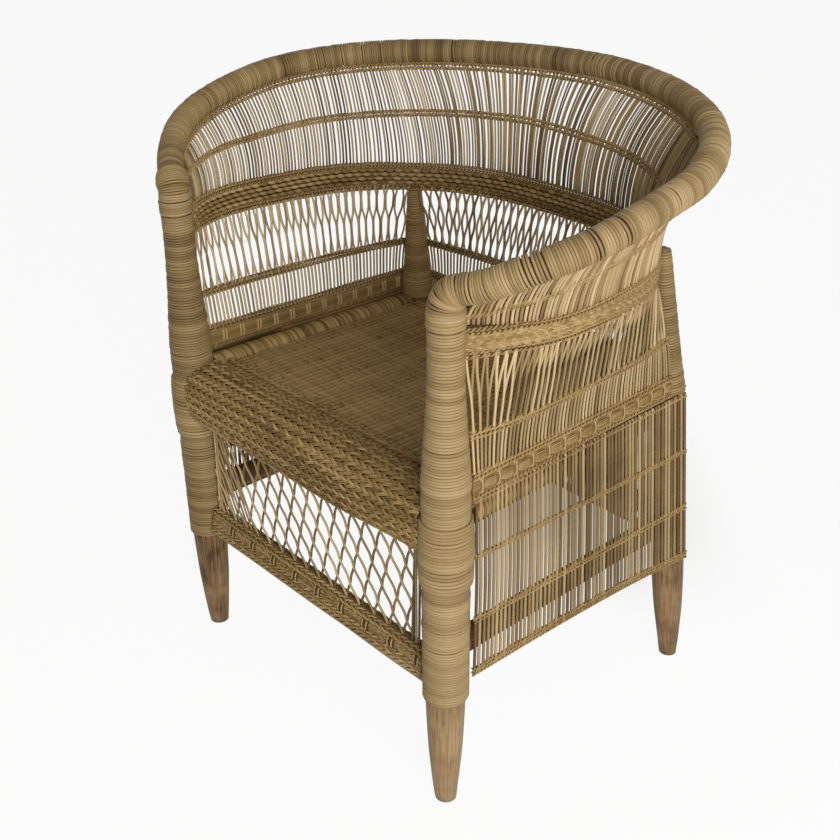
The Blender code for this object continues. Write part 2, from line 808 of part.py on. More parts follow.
side_span = (mid_post(MID_BOTTOM_Z) - mid_front(MID_BOTTOM_Z)).length
back_span = mid_post(MID_BOTTOM_Z).x
side_trim = MID_TRIM / side_span
back_trim = MID_TRIM / back_span
for side in (1, -1):
    make_panel(
        "mid_band_" + side_name(side),
        lambda t, z, s=side: side_point(mid_side(t, z), s),
        even_lines(0.0, 1.0 - side_trim, MID_SIDE_SPANS),
        [MID_BOTTOM_Z, MID_TOP_Z], (), MID_THICKNESS, BAND_CANE)
make_panel(
    "mid_band_back", mid_back,
    even_lines(-1.0 + back_trim, 1.0 - back_trim, MID_BACK_SPANS),
    [MID_BOTTOM_Z, MID_TOP_Z], (), MID_THICKNESS, BAND_CANE)


# Screens between the ladder bands and the middle bands

screen_low = LADDER_TOP_Z + SEAM
screen_high = MID_BOTTOM_Z - SEAM - SCREEN_DROP
screen_rows = [
    screen_low,
    screen_low + SCREEN_BORDER,
    NARROW_BAND_Z - NARROW_BAND_HEIGHT / 2.0,
    NARROW_BAND_Z + NARROW_BAND_HEIGHT / 2.0,
    screen_high - SCREEN_BORDER,
    screen_high,
]


def screen_side(t, z):
    part = (z - screen_low) / (screen_high - screen_low)
    last_y = back_axis(z).y - back_wrap_radius(max(z, BACK_WRAP_BOTTOM_Z)) - SCREEN_POST_GAP
    first_y = front_axis(z).y + front_wrap_radius(z) + SEAM
    y = lerp(first_y, last_y, t)
    low_x = ladder_side_x(y)
    reach = (y - mid_front(MID_BOTTOM_Z).y) / (mid_post(MID_BOTTOM_Z).y - mid_front(MID_BOTTOM_Z).y)
    high_x = mid_side(min(max(reach, 0.0), 1.0), MID_BOTTOM_Z).x
    return Vector((lerp(low_x, high_x, part ** SCREEN_POWER), y, z))


def screen_back(t, z):
    part = (z - screen_low) / (screen_high - screen_low)
    end_x = back_axis(z).x - back_wrap_radius(z) - SCREEN_POST_GAP
    x = end_x * t
    high_y = mid_back(min(abs(x) / mid_post(MID_BOTTOM_Z).x, 1.0), MID_BOTTOM_Z).y
    return Vector((x, lerp(back_ladder_y, high_y, part ** SCREEN_POWER), z))


side_width = STAKE_WIDTH / side_span
back_width = STAKE_WIDTH / back_span
for side in (1, -1):
    make_panel(
        "side_screen_" + side_name(side),
        lambda t, z, s=side: side_point(screen_side(t, z), s),
        stake_lines(0.0, 1.0, SIDE_STAKES, side_width),
        screen_rows, (1, 3), WALL_THICKNESS, PALE_CANE)
make_panel(
    "back_screen", screen_back,
    stake_lines(-1.0, 1.0, BACK_STAKES, back_width),
    screen_rows, (1, 3), WALL_THICKNESS, PALE_CANE)


# Hoop: necks on the front posts, arms and back in one bend


def arm_plan(y):
    reach = (HOOP_SIDE_Y - y) / (HOOP_SIDE_Y - HOOP_FRONT_Y)
    return HOOP_FRONT_X + (HOOP_HALF_WIDTH - HOOP_FRONT_X) * (1.0 - max(reach, 0.0) ** HOOP_ARM_POWER)


def half_plan():
    """Closely spaced plan points from the right front end to the middle of the back."""
    points = []
    for i in range(HOOP_ARM_STEPS):
        part = (i / HOOP_ARM_STEPS) ** HOOP_ARM_SPREAD
        y = lerp(HOOP_FRONT_Y, HOOP_SIDE_Y, part)
        points.append((arm_plan(y), y))
    for i in range(HOOP_BEND_STEPS + 1):
        angle = 0.5 * math.pi * i / HOOP_BEND_STEPS
        x = HOOP_HALF_WIDTH * max(math.cos(angle), 0.0) ** (2.0 / HOOP_ROUNDNESS)
        y = HOOP_SIDE_Y + HOOP_BACK_DEPTH * math.sin(angle) ** (2.0 / HOOP_ROUNDNESS)
        points.append((x, y))
    return points


PLAN = half_plan()
PLAN_LENGTH = [0.0]
for (x0, y0), (x1, y1) in zip(PLAN, PLAN[1:]):
    PLAN_LENGTH.append(PLAN_LENGTH[-1] + math.hypot(x1 - x0, y1 - y0))


def hoop_half(part):
    """Centre line of the right half, part 0 at the front post and 1 at the middle of the back."""
    target = min(max(part, 0.0), 1.0) * PLAN_LENGTH[-1]
    index = 1
    while index < len(PLAN) - 1 and PLAN_LENGTH[index] < target:
        index += 1
    step = PLAN_LENGTH[index] - PLAN_LENGTH[index - 1]
    share = (target - PLAN_LENGTH[index - 1]) / step
    x = lerp(PLAN[index - 1][0], PLAN[index][0], share)
    y = lerp(PLAN[index - 1][1], PLAN[index][1], share)
    rise = 1.0 - (1.0 - part) ** HOOP_RISE_POWER
    return Vector((x, y, lerp(HOOP_FRONT_Z, HOOP_BACK_Z, rise)))


def hoop_path():
    foot = front_axis(FRONT_TOP_Z + SEAM)
    neck = front_axis(FRONT_TOP_Z + SEAM + HOOP_NECK_HEIGHT)
    arm = hoop_half(HOOP_ELBOW_AT)
    ahead = (hoop_half(HOOP_ELBOW_AT + HOOP_ELBOW_SIGHT) - arm).normalized()
    span = (arm - neck).length
    rising = neck + Vector((0.0, 0.0, span * HOOP_ELBOW_RISE))
    handles = (neck, rising, arm - ahead * (span * HOOP_ELBOW_REACH), arm)
    half = [foot, neck]
    for i in range(1, HOOP_ELBOW_STEPS):
        t = i / HOOP_ELBOW_STEPS
        u = 1.0 - t
        point = handles[0] * u ** 3 + handles[1] * (3 * u * u * t)
        point = point + handles[2] * (3 * u * t * t) + handles[3] * t ** 3
        half.append(point)
    for i in range(HOOP_STATIONS):
        half.append(hoop_half(lerp(HOOP_ELBOW_AT, 1.0, i / (HOOP_STATIONS - 1))))
    other = [mirrored(point, -1) for point in reversed(half[:-1])]
    return half + other


def tube(name, points, radius, resolution, caps):
    curve = bpy.data.curves.new(name, "CURVE")
    curve.dimensions = "3D"
    curve.bevel_depth = radius
    curve.bevel_resolution = resolution
    curve.use_fill_caps = caps
    spline = curve.splines.new("POLY")
    spline.points.add(len(points) - 1)
    for point, place in zip(spline.points, points):
        point.co = (*place, 1.0)
    piece = bpy.data.objects.new(name, curve)
    CHAIR.objects.link(piece)
    return bake(piece)


HOOP = hoop_path()
core = tube("hoop_core", HOOP, HOOP_CORE_RADIUS, HOOP_TUBE_STEPS, True)
dress(core, DARK_WOOD, WOOD_ROUGHNESS)
smooth(core)
wrap = tube("hoop_wrap", HOOP, HOOP_WRAP_RADIUS, HOOP_TUBE_STEPS, False)
shell = wrap.modifiers.new("wall", "SOLIDIFY")
shell.thickness = HOOP_WRAP_RADIUS - HOOP_CORE_RADIUS - CLEARANCE
shell.offset = -1.0
dress(wrap, CANE, WRAP_ROUGHNESS)
smooth(wrap)


# Flared stake screen under the hoop, in six sectors


def flare_lower(span, t):
    return mid_side(t, MID_TOP_Z) if span == "side" else mid_back(t, MID_TOP_Z)


def flare_hoop(span, t):
    """Hoop point above a place on the middle band, and the outward direction there."""
    if span == "side":
        part = lerp(FLARE_FRONT_START, FLARE_POST_AT, t)
    else:
        part = lerp(1.0, FLARE_POST_AT, abs(t))
    point = hoop_half(part)
    ahead = hoop_half(part) - hoop_half(part - FLARE_SIGHT)
    if part > 1.0 - FLARE_SIGHT / 2.0:
        ahead = Vector((-1.0, 0.0, 0.0))
    outward = Vector((ahead.y, -ahead.x, 0.0)).normalized()
    if span == "back" and t < 0.0:
        point = mirrored(point, -1)
        outward = mirrored(outward, -1)
    return point, outward


def flare(span, t, v):
    low = flare_lower(span, t)
    hoop, outward = flare_hoop(span, t)
    reach = HOOP_WRAP_RADIUS + CLEARANCE + FLARE_THICKNESS / 2.0
    top = hoop - outward * (reach * FLARE_SEAT_IN) - Vector((0.0, 0.0, reach * FLARE_SEAT_DOWN))
    place = low.lerp(top, v ** FLARE_POWER)
    place.z = lerp(low.z + SEAM + FLARE_LIFT, top.z, v)
    return place


band_low_v = FLARE_BAND_AT - FLARE_BAND_SHARE / 2.0
band_high_v = FLARE_BAND_AT + FLARE_BAND_SHARE / 2.0
flare_rows = [
    0.0,
    FLARE_BORDER_SHARE,
    (FLARE_BORDER_SHARE + band_low_v) / 2.0,
    band_low_v,
    band_high_v,
    (band_high_v + 1.0 - FLARE_BORDER_SHARE) / 2.0,
    1.0 - FLARE_BORDER_SHARE,
    1.0,
]
side_cut = FLARE_TRIM / side_span
back_cut = FLARE_TRIM / back_span
side_flare_width = FLARE_STAKE_WIDTH / side_span
back_flare_width = FLARE_STAKE_WIDTH / back_span
for side in (1, -1):
    where = side_name(side)
    sectors = (
        ("flare_" + where + "_front", "side", 0.0, 0.5 - side_cut / 4.0, side_flare_width),
        ("flare_" + where + "_rear", "side", 0.5 + side_cut / 4.0, 1.0 - side_cut, side_flare_width),
        ("flare_back_" + where, "back", FLARE_MIDDLE_TRIM / back_span, 1.0 - back_cut, back_flare_width),
    )
    for name, span, low, high, width in sectors:
        make_panel(
            name,
            lambda t, v, k=span, s=side: side_point(flare(k, t, v), s),
            stake_lines(low, high, FLARE_STAKES, width),
            flare_rows, (1, 2, 4, 5), FLARE_THICKNESS, PALE_CANE)


# Skirts below the seat, curving out over the seat edge and outside the back legs

half_skirt = SKIRT_THICKNESS / 2.0


def over_roll(z, rise, radius):
    """How far a skirt stands off a rail axis so that it clears the roll on that rail."""
    height = min(max(z - rise, 0.0), radius)
    return math.sqrt(radius ** 2 - height ** 2) + CLEARANCE + half_skirt


def skirt_front_x(z):
    level = max(z, SIDE_RAIL_Z)
    outside_roll = over_roll(level, SIDE_RAIL_Z, SIDE_ROLL_RADIUS + SEAM)
    return max(side_rail_x(SKIRT_FRONT_Y) + outside_roll, LADDER_FRONT_X)


def skirt_corner_x(z):
    outside_leg = back_axis(z).x + between(BACK_ROWS, z) + SEAM + half_skirt
    return max(outside_leg, ladder_back_x)


def skirt_back_y(z):
    outside_leg = back_axis(z).y + between(BACK_ROWS, z) + SEAM + half_skirt
    outside_roll = back_rail.y + BACK_ROLL_DEPTH / 2.0 + SEAM + half_skirt
    return max(outside_leg, outside_roll) if z > SKIRT_UPPER_BAND_BACK_Z else outside_leg


SKIRT_ROWS = [
    (SKIRT_HEM_FRONT_Z, SKIRT_HEM_BACK_Z),
    (SKIRT_HEM_FRONT_Z + SKIRT_HEM_HEIGHT, SKIRT_HEM_BACK_Z + SKIRT_HEM_HEIGHT),
    (SKIRT_LOWER_BAND_FRONT_Z, SKIRT_LOWER_BAND_BACK_Z),
    (SKIRT_LOWER_BAND_FRONT_Z + SKIRT_BAND_HEIGHT, SKIRT_LOWER_BAND_BACK_Z + SKIRT_BAND_HEIGHT),
    (SKIRT_UPPER_BAND_FRONT_Z, SKIRT_UPPER_BAND_BACK_Z),
    (SKIRT_UPPER_BAND_FRONT_Z + SKIRT_BAND_HEIGHT, SKIRT_UPPER_BAND_BACK_Z + SKIRT_BAND_HEIGHT),
    (SIDE_RAIL_Z, SIDE_RAIL_Z),
    (SKIRT_TOP_Z, SKIRT_TOP_Z),
]


def skirt_side(t, row):
    z = lerp(*SKIRT_ROWS[row], t)
    last_y = back_axis(z).y + CORNER_REACH
    y = lerp(SKIRT_FRONT_Y, last_y, t)
    return Vector((lerp(skirt_front_x(z), skirt_corner_x(z), t), y, z))


def skirt_back(t, row):
    z = SKIRT_ROWS[row][1]
    end_x = back_axis(z).x + CORNER_REACH
    return Vector((end_x * t, skirt_back_y(z), z))


skirt_span = BACK_FOOT_Y - SKIRT_FRONT_Y
skirt_open = (1, 3, 5)
row_numbers = list(range(len(SKIRT_ROWS)))
for side in (1, -1):
    make_panel(
        "skirt_" + side_name(side),
        lambda t, row, s=side: side_point(skirt_side(t, row), s),
        stake_lines(0.0, 1.0, SIDE_SKIRT_STAKES, SKIRT_STAKE_WIDTH / skirt_span),
        row_numbers, skirt_open, SKIRT_THICKNESS, PALE_CANE)
make_panel(
    "skirt_back", skirt_back,
    stake_lines(-1.0, 1.0, BACK_SKIRT_STAKES, SKIRT_STAKE_WIDTH / BACK_FOOT_X),
    row_numbers, skirt_open, SKIRT_THICKNESS, PALE_CANE)


# Windings: the lashings under the front seat joints and the collars under the hoop's ends


def winding(axis, side, bottom, radius, pitch, loops):
    points = []
    for i in range(loops * LOOP_POINTS + 1):
        turn = i / LOOP_POINTS
        angle = 2.0 * math.pi * turn
        centre = axis(bottom + pitch * turn)
        centre += Vector((radius * math.cos(angle), radius * math.sin(angle), 0.0))
        points.append(mirrored(centre, side))
    first = (points[0] - points[1]).normalized() * (2.0 * CANE_RADIUS)
    last = (points[-1] - points[-2]).normalized() * (2.0 * CANE_RADIUS)
    return [points[0] + first] + points + [points[-1] + last]


def least_gap(points):
    """Smallest clear distance between points at least half a loop apart along the winding."""
    least = 1.0
    for i, one in enumerate(points):
        for two in points[i + LOOP_POINTS // 2:]:
            least = min(least, (one - two).length)
    return least - 2.0 * CANE_RADIUS


collar_low = FRONT_WRAP_TOP_Z + SEAM + CANE_RADIUS
collar_core = max(HOOP_WRAP_RADIUS, FRONT_NECK_RADIUS) + CLEARANCE
collar_reach = (collar_core + CANE_RADIUS) / math.cos(math.pi / LOOP_POINTS)
for side in (1, -1):
    where = side_name(side)
    lash = winding(front_axis, side, LASH_BOTTOM_Z, lash_reach, LASH_PITCH, LASH_LOOPS)
    collar = winding(front_axis, side, collar_low, collar_reach, COLLAR_PITCH, COLLAR_LOOPS)
    print("least gap, joint lashing", where, round(least_gap(lash) * 1000.0, 3), "mm")
    print("least gap, hoop collar", where, round(least_gap(collar) * 1000.0, 3), "mm")
    for name, points in (("joint_lashing_" + where, lash), ("hoop_collar_" + where, collar)):
        wound = tube(name, points, CANE_RADIUS, CANE_TUBE_STEPS, True)
        dress(wound, CANE, WRAP_ROUGHNESS)
        smooth(wound)
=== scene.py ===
"""Dressed woven cane tub armchair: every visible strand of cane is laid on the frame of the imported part."""

import math

import bpy
import numpy as np
from mathutils import Matrix

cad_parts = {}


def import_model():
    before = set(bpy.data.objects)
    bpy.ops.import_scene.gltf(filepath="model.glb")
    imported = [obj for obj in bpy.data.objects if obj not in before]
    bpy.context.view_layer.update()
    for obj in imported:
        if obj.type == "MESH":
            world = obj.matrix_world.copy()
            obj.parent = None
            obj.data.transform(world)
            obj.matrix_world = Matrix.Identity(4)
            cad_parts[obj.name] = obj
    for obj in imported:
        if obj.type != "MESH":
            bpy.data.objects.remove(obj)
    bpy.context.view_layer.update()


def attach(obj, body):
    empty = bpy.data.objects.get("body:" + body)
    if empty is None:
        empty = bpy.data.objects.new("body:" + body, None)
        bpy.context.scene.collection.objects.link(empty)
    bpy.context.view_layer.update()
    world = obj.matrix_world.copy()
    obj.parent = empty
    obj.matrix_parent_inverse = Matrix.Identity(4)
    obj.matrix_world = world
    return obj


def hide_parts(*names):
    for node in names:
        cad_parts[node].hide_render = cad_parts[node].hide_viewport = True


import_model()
RNG = np.random.default_rng(11)
TURN = 2.0 * math.pi
DIAGONAL = math.sqrt(0.5)
UP = np.array([0.0, 0.0, 1.0])
AHEAD = np.array([0.0, -1.0, 0.0])
FLIP = np.array([-1.0, 1.0, 1.0])
SIDES = ((1, "right"), (-1, "left"))

# Posts: rows of height and radius of the bare wood, and the thickness of the cane on it
FRONT_X = 0.231
FRONT_Y = -0.2229
FRONT_LEAN = -0.0172
BACK_X = 0.2406
BACK_Y = 0.1851
BACK_LEAN_X = -0.0515
BACK_LEAN_Y = -0.0975
FRONT_BARE = [(0.0, 0.0125), (0.04, 0.0165), (0.08, 0.0197), (0.15, 0.0225), (0.43, 0.0225),
              (0.49, 0.0180), (0.54, 0.0152), (0.62, 0.0150)]
BACK_BARE = [(0.0, 0.0115), (0.04, 0.0150), (0.08, 0.0185), (0.14, 0.0205), (0.40, 0.0205), (0.582, 0.0052)]
FRONT_CANE = 0.0037
BACK_CANE = 0.0025
FRONT_TOP = 0.610
BACK_TOP = 0.582
FRONT_CANE_Z = (0.152, 0.596)
BACK_CANE_Z = (0.398, 0.580)
LASHING_Z = (0.303, 0.386)
LASHING_LENGTH = 0.083
COLLAR_Z = (0.5945, 0.614)

# Walls
LADDER_LOW = 0.4035
LADDER_HIGH = 0.4290
LADDER_FRONT_X = 0.2475
NARROW_Z = 0.4765
MID_LOW = 0.5575
MID_HIGH = 0.5945
MID_FRONT_X = 0.2370
MID_SIDE_BULGE = (0.056, 0.064)
MID_BACK_BULGE = (0.060, 0.068)
MID_ROUND = 3.0
BACK_LADDER_SET = 0.0100
CORNER_REACH = 0.009
FRONT_GAP = 0.0005
POST_GAP = 0.0003
BAND_HALF = 0.004
WALL_BEND = 1.5
BACK_CANE_FOOT = 0.408

# Hoop
HOOP_R = 0.0153
HOOP_A = 0.3405
HOOP_Y0 = -0.0306
HOOP_B = 0.2746
HOOP_N = 1.665
HOOP_Q = 3.646
HOOP_FX = 0.2360
HOOP_FY = -0.2319
HOOP_FZ = 0.6242
HOOP_BZ = 0.7364
HOOP_M = 3.42
HOOP_FOOT_Z = 0.6105
HOOP_NECK_Z = 0.6135
ARM_JOIN = 0.05
ELBOW_RISE = 0.58
ELBOW_REACH = 0.50
HOOP_POINTS = 900
HOOP_ROD_R = 0.0121

# Seat, rails and stretchers
SIDE_RAIL_Z = 0.382
FRONT_RAIL_Z = 0.362
BACK_RAIL_Z = 0.358
SIDE_STRETCHER_Z = 0.213
BACK_STRETCHER_Z = 0.222
POLE_Z = 0.1655
POLE_R = 0.0125
ROLL_CORNER = 2.8


def unit(v):
    return v / np.maximum(np.linalg.norm(v, axis=-1, keepdims=True), 1e-12)


def lerp(a, b, t):
    return a + (b - a) * t


def ease(f):
    f = np.clip(f, 0.0, 1.0)
    return f * f * (3.0 - 2.0 * f)


def signed_power(v, power):
    return np.sign(v) * np.abs(v) ** power


def value(rule, q):
    """What a rule gives at q; a plain number holds everywhere."""
    return rule(q) if callable(rule) else rule


def hand_of(k):
    """Neighbouring rows twist opposite ways."""
    return 1.0 if k % 2 else -1.0


def stack(x, y, z):
    x, y, z = np.broadcast_arrays(np.asarray(x, float), np.asarray(y, float), np.asarray(z, float))
    return np.stack([x, y, z], -1)


def mirror(points, side):
    return points * FLIP if side < 0 else points


def front_axis(z):
    z = np.asarray(z, float)
    return stack(FRONT_X, FRONT_Y + FRONT_LEAN * z, z)


def back_axis(z):
    z = np.asarray(z, float)
    return stack(BACK_X + BACK_LEAN_X * z, BACK_Y + BACK_LEAN_Y * z, z)


def profile(rows, z):
    heights, radii = zip(*rows)
    return np.interp(z, heights, radii)


def front_wrap(z):
    return profile(FRONT_BARE, z) + FRONT_CANE


def back_wrap(z):
    return profile(BACK_BARE, z) + BACK_CANE


def arc(points):
    """Length along a polyline up to each of its points."""
    return np.concatenate([[0.0], np.cumsum(np.linalg.norm(np.diff(points, axis=0), axis=1))])


def sample(q, s, rows):
    """Rows of three values at the places q, where s holds the rows' own places."""
    return np.stack([np.interp(q, s, rows[:, k]) for k in range(3)], -1)


def resample(points, count):
    """Points at even spacing along a polyline."""
    s = arc(points)
    return sample(np.linspace(0.0, s[-1], count), s, points)


def blur(sigma, half):
    """Weights of a soft average over half a width on either side."""
    kernel = np.exp(-0.5 * (np.arange(-half, half + 1) / sigma) ** 2)
    return kernel / kernel.sum()


def tones(count, spread=1.0):
    return np.clip(0.5 + spread * (RNG.random(count) - 0.5), 0.0, 1.0)


# Strand bundles


def corners(low, high, sides):
    """A value at the corners of each face between two rings: two lie on the first ring, two on the next."""
    low = np.repeat(low[:, None], sides, 1)
    high = np.repeat(high[:, None], sides, 1)
    return np.stack([low, low, high, high], -1)


class Bundle:
    """Collects swept strands into one mesh with a strand UV map, a bake UV map and a tone for each strand."""

    def __init__(self, name):
        self.name = name
        self.verts = []
        self.tones = []
        self.quads = []
        self.quad_uv = []
        self.quad_cell = []
        self.caps = []
        self.cap_cell = []
        self.count = 0
        self.cells = 0

    def faces(self, rings, sides, metres, share, cell):
        """Faces between closed rings, with their place along the strand in metres and as a share."""
        i = self.count + sides * np.arange(rings - 1)[:, None]
        j = np.arange(sides)[None, :]
        k = (j + 1) % sides
        self.quads.append(np.stack([i + j, i + k, i + sides + k, i + sides + j], -1).reshape(-1, 4))
        around = np.broadcast_to(np.stack([j, j + 1, j + 1, j], -1) / sides, metres.shape)
        self.quad_uv.append(np.stack([metres, share, around], -1).reshape(-1, 4, 3))
        self.quad_cell.append(np.repeat(cell, sides))
        self.count += rings * sides

    def strand(self, points, normal, half_width, half_thick, sides=6, tone=0.5, chunk=None, flat=1.0):
        """A strand with closed ends along a path; its width lies across the normal."""
        p = np.asarray(points, float)
        n = len(p)
        w = np.broadcast_to(np.asarray(half_width, float), (n,))
        h = np.broadcast_to(np.asarray(half_thick, float), (n,))
        t = unit(np.gradient(p, axis=0))
        m = np.broadcast_to(np.asarray(normal, float), p.shape)
        m = unit(m - (m * t).sum(1, keepdims=True) * t)
        b = np.cross(t, m)
        a = TURN * np.arange(sides) / sides
        ring = p[:, None, :] + m[:, None, :] * (h[:, None] * signed_power(np.cos(a), flat))[..., None]
        ring = ring + b[:, None, :] * (w[:, None] * signed_power(np.sin(a), flat))[..., None]
        self.verts.append(ring.reshape(-1, 3))
        self.tones.append(np.repeat(np.broadcast_to(np.asarray(tone, float), (n,)), sides))
        s = arc(p)
        chunk = chunk or n
        group = np.arange(n - 1) // chunk
        first = group * chunk
        last = np.minimum(first + chunk, n - 1)
        span = np.maximum(s[last] - s[first], 1e-9)
        share = corners((s[:-1] - s[first]) / span, (s[1:] - s[first]) / span, sides)
        start = self.count + np.arange(sides)[::-1]
        end = self.count + (n - 1) * sides + np.arange(sides)
        self.caps.append(np.stack([start, end]))
        self.cap_cell.append(self.cells)
        self.faces(n, sides, corners(s[:-1], s[1:], sides), share, self.cells + group)
        self.cells += int(group[-1]) + 1

    def lay(self, surf, u, v, half_width, half_thick, tone, lift=0.0, sides=6, chunk=None):
        """A strand on a wall, through the places u along it and the heights v."""
        self.strand(surf.at(u, v, lift), surf.normal(u, v), half_width, half_thick, sides, tone, chunk)

    def grid(self, points, tone):
        """A sheet from rings of points, each ring closed on itself."""
        rows, cols, _ = points.shape
        self.verts.append(points.reshape(-1, 3))
        self.tones.append(np.full(rows * cols, tone))
        i = np.arange(rows - 1)
        share = corners(i / (rows - 1), (i + 1) / (rows - 1), cols)
        length = np.linalg.norm(np.diff(points[:, 0], axis=0), axis=1).sum()
        self.faces(rows, cols, share * length, share, np.full(rows - 1, self.cells))
        self.cells += 1

    def build(self, material, slot, nodes=()):
        """The mesh, riding the chair's body, in place of the nodes it dresses."""
        verts = np.concatenate(self.verts)
        quads = np.concatenate(self.quads)
        uv = np.concatenate(self.quad_uv)
        cell = np.concatenate(self.quad_cell)
        mesh = bpy.data.meshes.new(self.name)
        loops = [quads.reshape(-1)]
        totals = [np.full(len(quads), 4)]
        strand_uv = [uv[:, :, [0, 2]].reshape(-1, 2)]
        columns = max(1, int(math.ceil(math.sqrt(self.cells * 0.35))))
        rows = int(math.ceil(self.cells / columns))

        def place(cell_index, a, b):
            """A point of the bake map, in the cell of its strand with a margin round it."""
            x = (cell_index % columns + 0.03 + 0.94 * a) / columns
            y = (cell_index // columns + 0.06 + 0.88 * b) / rows
            return np.stack([x, y], -1)

        bake_uv = [place(cell[:, None], uv[:, :, 1], uv[:, :, 2]).reshape(-1, 2)]
        for pair, owner in zip(self.caps, self.cap_cell):
            sides = pair.shape[1]
            loops.append(pair.reshape(-1))
            totals.append(np.array([sides, sides]))
            around = np.tile(np.arange(sides) / sides, 2)
            share = np.repeat([0.0, 1.0], sides)
            strand_uv.append(np.stack([share * 0.01, around], -1))
            bake_uv.append(place(np.full(2 * sides, owner), share, around))
        loops = np.concatenate(loops).astype(np.int32)
        totals = np.concatenate(totals).astype(np.int32)
        starts = np.concatenate([[0], np.cumsum(totals)[:-1]]).astype(np.int32)
        mesh.vertices.add(len(verts))
        mesh.vertices.foreach_set("co", verts.astype(np.float32).reshape(-1))
        mesh.loops.add(len(loops))
        mesh.loops.foreach_set("vertex_index", loops)
        mesh.polygons.add(len(totals))
        mesh.polygons.foreach_set("loop_start", starts)
        mesh.polygons.foreach_set("loop_total", totals)
        mesh.polygons.foreach_set("use_smooth", np.ones(len(totals), dtype=bool))
        for name, values in (("OFBake", bake_uv), ("strand", strand_uv)):
            layer = mesh.uv_layers.new(name=name)
            layer.data.foreach_set("uv", np.concatenate(values).astype(np.float32).reshape(-1))
        tone = mesh.attributes.new("tone", "FLOAT", "POINT")
        tone.data.foreach_set("value", np.concatenate(self.tones).astype(np.float32))
        mesh.update(calc_edges=True)
        mesh.validate()
        piece = bpy.data.objects.new(self.name, mesh)
        bpy.context.scene.collection.objects.link(piece)
        mesh.materials.append(material)
        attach(piece, "root")
        if nodes:
            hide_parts(*nodes)


# Materials

CANE_SHEEN = 0.15
FIBRE_SHARE = 0.55
RAMP_STOPS = (0.12, 0.5, 0.9)
RELIEF_HEIGHT = 0.0004


def node(tree, kind, operation=None, **values):
    """A new shader node; in the names of the sockets to set, an underscore stands for a space."""
    made = tree.nodes.new("ShaderNode" + kind)
    if operation:
        made.operation = operation
    for socket, number in values.items():
        made.inputs[socket.replace("_", " ")].default_value = number
    return made


def cane_material(name, dark, mid, light, roughness, streak=1.0, bump=0.25, grain=(14.0, 3.0),
                  stain=(13.0, 0.5)):
    """Cane or wood: a tone for each strand, fibre streaks along it and a cloudy patina."""
    material = bpy.data.materials.new(name)
    material.use_nodes = True
    tree = material.node_tree
    link = tree.links.new
    shader = tree.nodes["Principled BSDF"]
    shader.inputs["Specular IOR Level"].default_value = CANE_SHEEN
    tone = node(tree, "Attribute")
    tone.attribute_name = "tone"
    uv = node(tree, "UVMap")
    uv.uv_map = "strand"
    stretch = node(tree, "Mapping", Scale=(*grain, 1.0))
    link(uv.outputs["UV"], stretch.inputs["Vector"])
    fibre = node(tree, "TexNoise", Scale=4.0, Detail=5.0, Roughness=0.65)
    link(stretch.outputs["Vector"], fibre.inputs["Vector"])
    where = node(tree, "TexCoord")
    patina = node(tree, "TexNoise", Scale=stain[0], Detail=3.0)
    link(where.outputs["Object"], patina.inputs["Vector"])
    total = tone.outputs["Fac"]
    for noise, weight in ((fibre, FIBRE_SHARE * streak), (patina, stain[1])):
        add = node(tree, "Math", "MULTIPLY_ADD")
        add.inputs[1].default_value = weight
        link(noise.outputs["Fac"], add.inputs[0])
        link(total, add.inputs[2])
        total = add.outputs["Value"]
    scale = node(tree, "MapRange", From_Min=0.2, From_Max=1.7)
    link(total, scale.inputs["Value"])
    ramp = node(tree, "ValToRGB")
    ramp.color_ramp.elements.new(0.5)
    for stop, place, colour in zip(ramp.color_ramp.elements, RAMP_STOPS, (dark, mid, light)):
        stop.position = place
        stop.color = (*colour, 1.0)
    link(scale.outputs["Result"], ramp.inputs["Fac"])
    link(ramp.outputs["Color"], shader.inputs["Base Color"])
    gloss = node(tree, "MapRange", To_Min=roughness - 0.1, To_Max=roughness + 0.14)
    link(fibre.outputs["Fac"], gloss.inputs["Value"])
    link(gloss.outputs["Result"], shader.inputs["Roughness"])
    relief = node(tree, "Bump", Strength=bump, Distance=RELIEF_HEIGHT)
    link(fibre.outputs["Fac"], relief.inputs["Height"])
    link(relief.outputs["Normal"], shader.inputs["Normal"])
    return material


STAKE = cane_material("stake_cane", (0.115, 0.071, 0.028), (0.330, 0.231, 0.108), (0.53, 0.40, 0.222), 0.5)
WRAP = cane_material("wrap_cane", (0.120, 0.074, 0.029), (0.283, 0.195, 0.086), (0.43, 0.320, 0.166), 0.46,
                     bump=0.2)
BAND = cane_material("band_cane", (0.045, 0.024, 0.007), (0.238, 0.149, 0.054), (0.41, 0.290, 0.132), 0.55)
SEAT = cane_material("seat_cane", (0.055, 0.029, 0.008), (0.258, 0.163, 0.058), (0.43, 0.30, 0.134), 0.55)
WOOD = cane_material("leg_wood", (0.045, 0.023, 0.010), (0.222, 0.134, 0.063), (0.36, 0.250, 0.140), 0.5,
                     4.2, 0.4, (4.0, 16.0), (26.0, 1.6))
DARK = cane_material("rail_wood", (0.026, 0.012, 0.005), (0.11, 0.056, 0.024), (0.20, 0.11, 0.052), 0.6,
                     1.2, 0.35)
POLE = cane_material("pole_cane", (0.13, 0.080, 0.036), (0.26, 0.175, 0.083), (0.40, 0.29, 0.158), 0.45,
                     1.2, 0.2)


# Shapes of the walls


def mid_share(z):
    return (z - MID_LOW) / (MID_HIGH - MID_LOW)


def mid_front(z):
    z = np.asarray(z, float)
    return stack(MID_FRONT_X, front_axis(z)[..., 1] + front_wrap(z) + FRONT_GAP, z)


def mid_post(z):
    z = np.asarray(z, float)
    inset = (back_wrap(MID_LOW) + POST_GAP + BAND_HALF) * DIAGONAL
    axis = back_axis(z)
    return stack(axis[..., 0] - inset, axis[..., 1] - inset, z)


